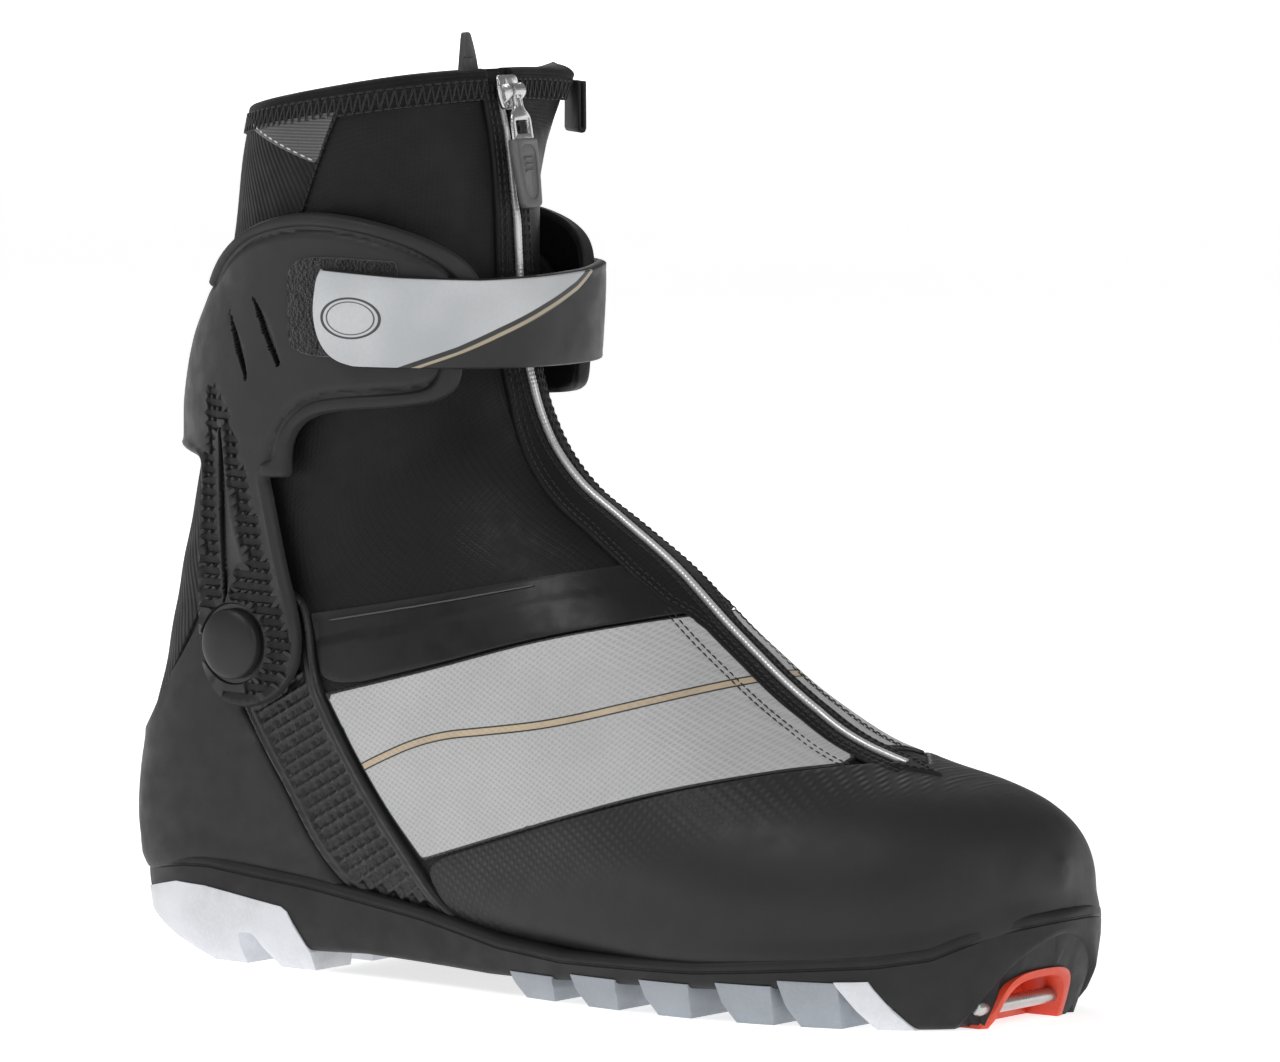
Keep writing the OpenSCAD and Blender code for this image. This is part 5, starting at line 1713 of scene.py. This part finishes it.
def wedge(xz, line):
    """Depth in mm of a slot with a sharp channel behind and a facet rising forwards"""
    deep = np.zeros(len(xz))
    for j in np.flatnonzero(inside(soft_line(line), xz)):
        lo, hi = span(line, xz[j, 1])
        t = xz[j, 0] - lo
        wide = max(hi - lo - CHANNEL, 0.2)
        deep[j] = (SLOT_DEEP * min(t / 0.25, 1) if t < CHANNEL - 0.2
                   else 1 - min(max(t - CHANNEL, 0) / wide, 1))
    return deep


def cuff_painted_shade_light(p):
    """Painted shade and light: 1, painted dark as shade, in what is sunk into the cuff, below 0 on
    facets painted pale as light
    """
    xz = p[:, [0, 2]]
    dark = square_depth(xz)
    for line in SLITS + [FIN]:
        w = wedge(xz, line)
        # a slot's channel gets painted shade and its facet gets painted light
        dark = np.where(w > 1.01, 1, np.where(w > 0.02, -0.35, dark))
    return dark


def cuff_relief(p, dist):
    xz = p[:, [0, 2]]
    out = -DEPTH * square_depth(xz)
    for line in SLITS + [FIN]:
        out -= wedge(xz, line)
    out += 0.45 * near(dist, 1.5, 1.0) * ramp(-p[:, 2], -143, -129)
    for line in GROOVES:
        out -= 0.8 * near(far(xz, soft_line(line, False), False), 0, 0.8)
    out -= 0.9 * (1 - ramp(np.hypot(*(xz - PIVOT).T), 10.1, 10.5))
    return out + 0.06 * ripple(p, 21, 6.0)


def in_squares(p):
    """True where the grid's own points make the net"""
    return (to_edge(p[:, [0, 2]], GRID) > 0.3) & (to_edge(p[:, [0, 2]], FIN) < -0.9)


def square_points(inner):
    """Points on the rims and the floors of the squares"""
    for grow in (0, SLOPE):
        for sx in (-1, 1):
            for sz in (-1, 1):
                w = np.array([sx * (WIDE / 2 - grow) / PITCH_X, sz * (TALL / 2 - grow) / PITCH_Z])
                yield shell_side(unleaned(SQUARES + 0.5 + w * 0.999), inner)[0]


def slot_points(inner):
    """Points along the slits and the fin, on both edges and the channel's foot"""
    for line in SLITS + [FIN]:
        tall = [q[1] for q in line]
        for z in np.arange(min(tall) - 0.1, max(tall) + 0.2, 0.7):
            lo, hi = span(line, z)
            stops = [lo - 0.05, lo + 0.25, lo + CHANNEL - 0.25, lo + CHANNEL,
                     (lo + hi) / 2 + 0.6, hi - 0.05, hi + 0.15]
            yield shell_side([(x, z) for x in stops if x <= hi + 0.15], inner)[0]


fine = []
turn = np.radians(np.arange(0, 360, 4.5))
for inner in (False, True):
    fine += [*square_points(inner), *slot_points(inner)]
    for r in (10.05, 10.55):
        q = np.column_stack([PIVOT[0] + r * np.cos(turn), PIVOT[1] + r * np.sin(turn)])
        fine.append(shell_side(q, inner)[0])
# deep carries the painted shade of the recesses and the painted light of the facets
lay("cuff_shell", SHELL, wrap_ring(SHELL, SHELL_TOP, SHELL_LOW, 0.9), "cuff", "cuff",
    "cuff_plastic", ("cuff_shell",), 38, base=-2.4, t=2.5, r=1.9, h=0.95, skirt=0.05,
    relief=cuff_relief, lines=fine, own=in_squares, extra={"deep": cuff_painted_shade_light})

TRIM_TOP = [(-19, 175), (-8, 183.6), (5, 190.8), (22, 194.7), (38, 193.7), (51, 190.6),
            (59.4, 187), (65, 182.3), (67.4, 174.8, 1.2), (63.6, 174.6, 1.2), (61.4, 179.4),
            (57.2, 183.2), (50, 186.9), (37, 190), (22, 191), (6, 187.8), (-5, 182.4),
            (-14, 175.4), (-17.5, 172.6)]
TRIM_LOW = [(63.2, 159), (62.8, 152), (60.2, 147.9), (54, 145.9), (32, 144.4), (23.4, 141.4),
            (19.2, 135.6), (19.0, 126.9, 1.6), (10.0, 126.4, 1.6), (10.2, 130.6, 1.2),
            (14.6, 131.4), (15.4, 136.6), (19.4, 142.4), (25, 146.4), (34, 148.2), (53, 149.6),
            (57.6, 151.4), (59.2, 158.6)]
for inner, tag in SIDES:
    for points, name in ((TRIM_TOP, "top"), (TRIM_LOW, "low")):
        lay(f"cuff_trim_{name}_{tag}", SHELL, side_ring(SHELL, points, inner, 0.7), "trim", "cuff",
            "trim_rubber", ("cuff_trim",) if name == "top" and not inner else (),
            base=-1.2, t=2.5, r=1.3, h=1.0, skirt=0.6,
            relief=lambda p, d: 0.05 * ripple(p, 9, 2.0))

PAD = [(-42, 137), (-16, 139), (4, 142), (24, 151), (46, 153), (53, 160), (53, 174), (42, 183),
       (20, 186), (-4, 177), (-18, 169), (-42, 164)]
pad = lay("cuff_pad", SHELL, wrap_ring(SHELL, PAD[6:], PAD[6::-1], 2.0), "pad", "cuff",
          "pad_foam", ("cuff_pad",), base=-4.6, t=2.0, r=1.8, h=3.0, skirt=1.5,
          relief=lambda p, d: 0.3 * ripple(p, 8))

LOOP_PAD = [(19.4, 160.6, 2), (18.6, 180, 3), (24, 183.6), (50, 182.5, 2), (50, 159, 2),
            (26, 157.4)]
lay("loop_pad", SHELL, side_ring(SHELL, LOOP_PAD, False, 0.7), "pile", "cuff", "hook_loop",
    ("cuff_loop_pad",), base=0.0, t=1.0, r=0.5, h=1.2, skirt=0.3,
    relief=lambda p, d: 0.25 * rng.uniform(-1, 1, len(p)))

# ---- pivots ----


def lathed(profile, at, face):
    """A turned shape: profile of (radius, height) with its axis along y"""
    n, m = len(profile), 72
    ang = np.arange(m) / m * 2 * np.pi
    v = [(at[0] + r * math.cos(a), at[1] + face * h, at[2] + r * math.sin(a))
         for r, h in profile for a in ang]
    f = quads(n, m) + caps(n, m)
    return np.array(v), turned_over(f) if face > 0 else f


DOME = [(6.0, -0.6), (8.9, -0.6), (9.05, 1.0), (8.95, 1.6), (8.5, 2.15), (7.6, 2.6), (6.4, 2.95),
        (5, 3.2), (3.3, 3.38), (1.6, 3.46), (0.5, 3.48)]
DARK = [(8.0, -0.75), (10.15, -0.75), (10.15, -0.45), (8.4, -0.45)]
CAP_Y = 40.4
for inner, tag in SIDES:
    face = 1 if inner else -1
    for name, profile, mat, replaces in (("pivot_cap", DOME, "cap", (f"pivot_cap_{tag}",)),
                                         ("pivot_cap_line", DARK, "ring", ())):
        v, f = lathed(profile, (PIVOT[0], face * CAP_Y, PIVOT[1]), face)
        make(f"{name}_{tag}", v, f, K[mat], "boot", replaces, v[:, [0, 2]],
             sharp=50)

# ---- strap ----

SWEEP = np.array([[154.5, 0.156], [156, 0.1425], [161, 0.100], [165.8, 0.0675],
                  [171.2, 0.0275], [176.2, -0.0125], [179, -0.0275], [182, -0.042]])
TOP_EDGE = ([-0.25, -0.07, -0.03, 0.03, 0.085, 0.15, 0.2225],
            [181, 180.8, 179.6, 178.8, 178.3, 178.9, 180.4])
END_EDGE = [(180.4, 0.2215), (177.5, 0.2262), (171, 0.2255), (164.8, 0.2175), (159.8, 0.2055),
            (157.2, 0.193), (156.1, 0.178)]
STRAP_MID = 168.0
SPAN = 2 * float(SHELL.girth(STRAP_MID))
B_MED = shell_side([(31.0, STRAP_MID)], True)[0][0, 1] - 1
STRAP_FOOT = 155.7
END_B = 0.2195
OVAL = (168.2, 0.186 * SPAN)
OVAL_HALF = (5.0, 7.6)


def band_b(p):
    """b of points near the strap"""
    b = np.linspace(-0.45, 0.45, 400)
    q = SHELL.at(np.stack([np.full(len(b), STRAP_MID), b], 1))
    way = np.arctan2(-q[:, 1], q[:, 0] - 14)
    return np.interp(np.arctan2(-p[:, 1], p[:, 0] - 14), way, b)


def flat_zb(p):
    """The strap laid flat: height and the way round, in mm"""
    return np.column_stack([p[:, 2], band_b(p) * SPAN])


def sweep_mm(p):
    """Signed distance from the curved line across the strap"""
    line = SWEEP * [1, SPAN]
    q = flat_zb(p)
    d = far(q, densify(line, 1.0), False)
    return np.where(q[:, 0] > np.interp(-q[:, 1], -line[:, 1], line[:, 0]), d, -d)


def frame_mm(p):
    """Distance from the outline of a plain oval"""
    return (np.hypot(*((flat_zb(p) - OVAL) / OVAL_HALF).T) - 1) * 5.6


def strap_ring(less, end_less, past=None):
    """Outline of the strap or, with past, of its silver end up to the curved line"""
    foot = STRAP_FOOT + less
    end = np.array(END_EDGE)
    end[:, 1] -= end_less / SPAN
    end = soft_line(end * [1, SPAN], False, 0.6) / [1, SPAN]
    end[:, 0] = np.clip(end[:, 0], foot, 181)
    if past is None:
        low_b = np.linspace(0.17, B_MED, 60)
        top_b = np.linspace(B_MED, END_B, 80)
        mid = []
    else:
        line = soft_line(SWEEP * [1, SPAN], False, 0.6)
        tan = np.gradient(line, axis=0)
        tan /= np.linalg.norm(tan, axis=1, keepdims=True)
        line = (line + np.stack([tan[:, 1], -tan[:, 0]], 1) * past) / [1, SPAN]
        top = np.interp(line[:, 1], *TOP_EDGE) - less
        line = line[(line[:, 0] > foot) & (line[:, 0] < top)]
        low_b = np.linspace(0.17, line[0, 1], 12)
        top_b = np.linspace(line[-1, 1], END_B, 60)
        mid = [line]
    low = np.stack([np.full(len(low_b), foot), low_b], 1)
    top = np.stack([np.interp(top_b, *TOP_EDGE) - less, top_b], 1)
    return even(SHELL, np.concatenate([end, low] + mid + [top]), True, 0.8)


lay("strap_band", SHELL, strap_ring(0, 0), "strap", "strap", "strap_body", ("strap_band",),
    base=2.1, t=2.2, r=0.8, h=1.4, skirt=0.02, relief=lambda p, d: -0.22 * near(d, 1.9, 0.5),
    uv="own")
lay("strap_film", SHELL, strap_ring(0.35, 0.4, 2.0), "film", "strap", "strap_silver",
    ("strap_film",), base=4.22, t=0.42, r=0.35, h=0.9, skirt=0.1, uv="own",
    extra={"sweep": sweep_mm, "frame": frame_mm})
hook = np.array([(179, 0.212), (170, 0.216), (163, 0.206), (160.5, 0.19), (160, 0.15),
                 (177.5, 0.15)])
lay("hook_pad", SHELL, even(SHELL, densify(closed_up(hook), 0.3)[:-1], True, 1.0), "pile",
    "strap", "hook_loop", ("strap_hook_pad",), base=1.45, t=0.6, r=0.4, h=1.6, skirt=0.0,
    relief=lambda p, d: 0.12 * rng.uniform(-1, 1, len(p)), uv="own")

RING_Y = 45.6


def pipe(x, z0, z1, outer, inner):
    """An upright tube with rounded ends"""
    prof = [(inner, z0 + 0.3), (outer - 0.4, z0), (outer, z0 + 0.5)]
    prof += [(outer, z) for z in np.linspace(z0 + 2, z1 - 2, 6)]
    prof += [(outer, z1 - 0.5), (outer - 0.4, z1), (inner, z1 - 0.3)]
    ang = np.arange(40) / 40 * 2 * np.pi
    v = np.array([(x + r * math.cos(a), RING_Y + r * math.sin(a), z) for r, z in prof
                  for a in ang])
    return v, quads(len(prof), 40, True)


v, f = pipe(30, 158.2, 178.8, 3.1, 1.6)
make("strap_eye", v, f, K["strap"], "strap", (), v[:, [0, 2]], sharp=60)
corners = [(cx + 3.4 * math.cos(math.radians(a)), RING_Y, cz + 2.2 * math.sin(math.radians(a)))
           for cx, cz, a0 in ((26.6, 181.0, 0), (24.4, 181.0, 90), (24.4, 156.0, 180),
                              (26.6, 156.0, 270)) for a in np.linspace(a0, a0 + 90, 9)]
line = densify(np.array(corners + corners[:1]), 1.2)[:-1]
v, f = tube(line, 1.45, 16, closed=True, normals=np.tile([0, 1.0, 0], (len(line), 1)))
make("strap_ring", v, f, K["wire"], "cuff", ("strap_ring",), v[:, [0, 2]])

web = raw(*prism([(-4, 42.3), (18.6, 42.3), (19.6, 42.9), (19.6, 43.6), (18.6, 44), (-4, 44)],
                 159.2, 178, 2))
web = joined("strap_webbing", [web], "webbing", "cuff", ("strap_webbing",))
bevelled(web, 0.35, 2, 40)
v, f = pipe(21, 159.4, 177.6, 2.85, 1.6)
make("webbing_eye", v, f, K["webbing"], "cuff", (), v[:, [0, 2]], sharp=60)

# ---- zip slider and pull ----

TILT = math.radians(9.5)
BAIL = (5.1, 0, 0)
PULL_TOP = (5.1, 0, -13.1)


def rotated(v, i, k, angle):
    """Points turned by angle in the plane of axes i and k"""
    v = np.array(v, float)
    c, s = math.cos(angle), math.sin(angle)
    v[:, i], v[:, k] = v[:, i] * c - v[:, k] * s, v[:, i] * s + v[:, k] * c
    return v


def on_zip(v, at=(0, 0, 0)):
    """From the slider's own place to the boot's"""
    return rotated(np.asarray(v, float) + at, 0, 2, TILT) + (55.2, 0, 224)


def cut_plate(outline, x0, x1, bevel, at=(0, 0, 0), holes=()):
    """A plate with its outline in (y, z), standing off the zip from x0 to x1"""
    v, f = prism(soft_line(outline, True, 0.4), x0, x1, 0)
    obj = raw(on_zip(v, at), f)
    for hole in holes:
        v, f = prism(soft_line(hole, True, 0.3), x0 - 2, x1 + 2, 0)
        cut(obj, (on_zip(v, at), f))
    return bevelled(obj, bevel, 2, 45)


def post(y):
    """One of the slider's two side plates that hold the bail"""
    pts = [(2.6, 1.9, 0.6), (5.2, 1.9, 1.2), (6.0, 0.6, 1.0), (6.0, -0.8, 1.0), (5.0, -2.0, 1.0),
           (2.6, -3.4, 0.6)]
    v, f = prism(soft_line(pts, True, 0.3), y - 0.5, y + 0.5)
    return bevelled(raw(on_zip(v), f), 0.22, 2, 45)


def rod(half, radius, sides, at=BAIL, count=8):
    """Vertices and faces of a rod across the zip"""
    return tube(on_zip([(0, y, 0) for y in np.linspace(-half, half, count)], at), radius, sides)


slider = [
    cut_plate([(-4, 4.2, 1.6), (4, 4.2, 1.6), (4.1, -0.5, 2), (2.9, -4.6, 1), (-2.9, -4.6, 1),
               (-4.1, -0.5, 2)], 1.7, 3.1, 0.4),
    cut_plate([(-1.6, 3.6, 0.8), (1.6, 3.6, 0.8), (1.9, -3.8, 0.8), (-1.9, -3.8, 0.8)], 3.0, 3.5,
              0.2),
    post(-2.6), post(2.6), raw(*rod(2.7, 0.78, 20))]
joined("zip_slider", slider, "nickel", "slider", ("zip_slider",))

link = cut_plate([(-1.5, 1.5, 1.1), (1.5, 1.5, 1.1), (1.55, -4.4, 0.8), (3.9, -6.8, 1.4),
                  (4.1, -13, 0.6), (-4.1, -13, 0.6), (-3.9, -6.8, 1.4), (-1.55, -4.4, 0.8)],
                 -0.6, 0.6, 0.22, BAIL,
                 [[(-0.7, -2.2, 0.4), (0.7, -2.2, 0.4), (0.7, -4.6, 0.4), (-0.7, -4.6, 0.4)],
                  [(-2.5, -7.8, 0.6), (2.5, -7.8, 0.6), (2.5, -11.3, 0.6), (-2.5, -11.3, 0.6)]])
eye = raw(*rod(1.9, 1.55, 24))
for part in (eye, link):
    cut(part, rod(4, 0.88, 20))
joined("pull_link", [link, eye], "nickel", "pull", ("pull_link",))

TAB = [(-4.7, 0.6, 1.2), (4.7, 0.6, 1.2), (4.4, -7), (3.3, -17, 1.6), (-3.3, -17, 1.6),
       (-4.4, -7)]
tab = cut_plate(TAB, -1.3, 1.3, 0.5, PULL_TOP)
for x0, x1 in ((1.0, 3.0), (-3.0, -1.0)):
    v, f = prism(soft_line([(q[0] * 0.68, q[1] * 0.8 - 1.4) for q in TAB], True, 0.4), x0, x1, 0)
    cut(tab, (on_zip(v, PULL_TOP), f))
for k in range(3):
    cut(tab, rod(1.5, 0.35, 8, (6.15, 0, -17.6 - 1.6 * k), 6), "UNION")
bevelled(tab, 0.12, 2, 50)
joined("pull_tab", [tab], "pull", "pull", ("pull_tab",))

# ---- collar tab and loop ----

TAB_LEAN = math.radians(3)
LOOP_TURN = math.radians(-38)


def leant(v):
    """From the collar tab's own place to the boot's"""
    return rotated(v, 0, 2, TAB_LEAN) + (45.4, 0, 196)


outline = soft_line([(-6, 0, 1), (6, 0, 1), (6, 22), (3.4, 37), (1.2, 43.2, 1.2),
                     (-0.8, 43.2, 1.2), (-5, 22)], True, 0.6)
v, f = prism(outline, 0, 1.5, 0)
fin = raw(leant(v), f)
for k in range(5):
    w = 3.6 - 0.45 * k
    cut(fin, tube(leant([(1.5, y, 24 + 3.2 * k) for y in np.linspace(-w, w * 0.8, 8)]), 0.3),
        "UNION")
bevelled(fin, 0.3, 3, 45)
joined("collar_tab", [fin], "tab", "cuff", ("collar_tab",))

fold = [(-1.1, 13.4), (-1.15, 1.2), (-0.8, 0.3), (0, 0), (0.8, 0.3), (1.15, 1.2), (1.1, 13.4),
        (0.3, 13.4), (0.32, 1.7), (0, 1.3), (-0.32, 1.7), (-0.3, 13.4)]
v, f = prism(fold, -7, 7, 0)
v = rotated(v + (0, 1.1, 0), 0, 1, LOOP_TURN) + (46.6, 40.9, collar_z(44) - 17)
loop = joined("collar_loop", [raw(v, f)], "webbing", "cuff", ("collar_loop",))
bevelled(loop, 0.2, 2, 40)

# ---- finishes of the parts kept from the model ----

KEEP = {"shank": "plate", "lasting_board": "board", "pivot_rivet_lateral": "alu",
        "pivot_rivet_medial": "alu", "pivot_bush_lateral": "bush", "pivot_bush_medial": "bush"}
for node, mat in KEEP.items():
    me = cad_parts[node].data
    me.materials.clear()
    me.materials.append(K[mat])

# ---------------------------------------------------------------- picture

scene = bpy.context.scene
target = Vector((96.4, 0, 111)) * MM
eye = Vector((1415.35, -1750.31, 302.74)) * MM
data = bpy.data.cameras.new("camera")
data.lens = 245.6
data.sensor_width = 36
data.shift_x = 10 / 1280
data.shift_y = 14 / 1280
data.clip_start = 0.1
data.clip_end = 20
camera = linked("camera", data)
camera.location = eye
camera.rotation_euler = (target - eye).to_track_quat("-Z", "Y").to_euler()
scene.camera = camera

FLOOR_HALF = 9.0
BACKDROP_RADIUS = 6.5
BACKDROP_HIGH = 0.55


def glowing(name, spec, size, low, high, strength):
    """A pale matt surface with a light of its own"""
    m = Mat(name, 0.9, spec=spec)
    m.done(m.mix(m.step(m.noise(size, 2), 0.3, 0.7), (low,) * 3, (high,) * 3), 0.02)
    m.b.inputs["Emission Color"].default_value = (1, 1, 1, 1)
    m.b.inputs["Emission Strength"].default_value = strength
    return m.m


def room(name, verts, faces, mat):
    me = bpy.data.meshes.new(name)
    me.from_pydata(verts, [], faces)
    me.materials.append(mat)
    linked(name, me)


room("floor", [(-FLOOR_HALF, -FLOOR_HALF, 0), (FLOOR_HALF, -FLOOR_HALF, 0),
               (FLOOR_HALF, FLOOR_HALF, 0), (-FLOOR_HALF, FLOOR_HALF, 0)],
     [(0, 1, 2, 3)], glowing("studio_floor", 0.1, 300, 0.90, 0.92, 0.72))
room("backdrop", [(BACKDROP_RADIUS * math.cos(a), BACKDROP_RADIUS * math.sin(a), z)
                  for z in (0, BACKDROP_HIGH) for a in np.radians(np.arange(0, 360, 5))],
     quads(2, 72), glowing("studio_wall", 0.0, 900, 0.8, 0.82, 0.95))

world = bpy.data.worlds.new("studio")
scene.world = world
world.use_nodes = True
back = world.node_tree.nodes["Background"]
back.inputs[0].default_value = (1, 1, 1, 1)
back.inputs[1].default_value = 0.26


def area(name, place, aim, size, power):
    light = bpy.data.lights.new(name, "AREA")
    light.shape = "RECTANGLE"
    light.size, light.size_y = size
    light.energy = power
    obj = linked(name, light)
    obj.location = place
    obj.rotation_euler = (Vector(aim) - Vector(place)).to_track_quat("-Z", "Y").to_euler()


area("key_light", (-0.3, -1.1, 1.5), (0.08, 0, 0.1), (0.9, 0.7), 9)
area("side_light", (1.5, -0.4, 0.9), (0.08, 0, 0.08), (0.6, 1.0), 5)
area("rim_light", (-0.9, 0.8, 0.9), (0.05, 0, 0.15), (0.7, 0.7), 4)
scene.view_settings.view_transform = "Standard"
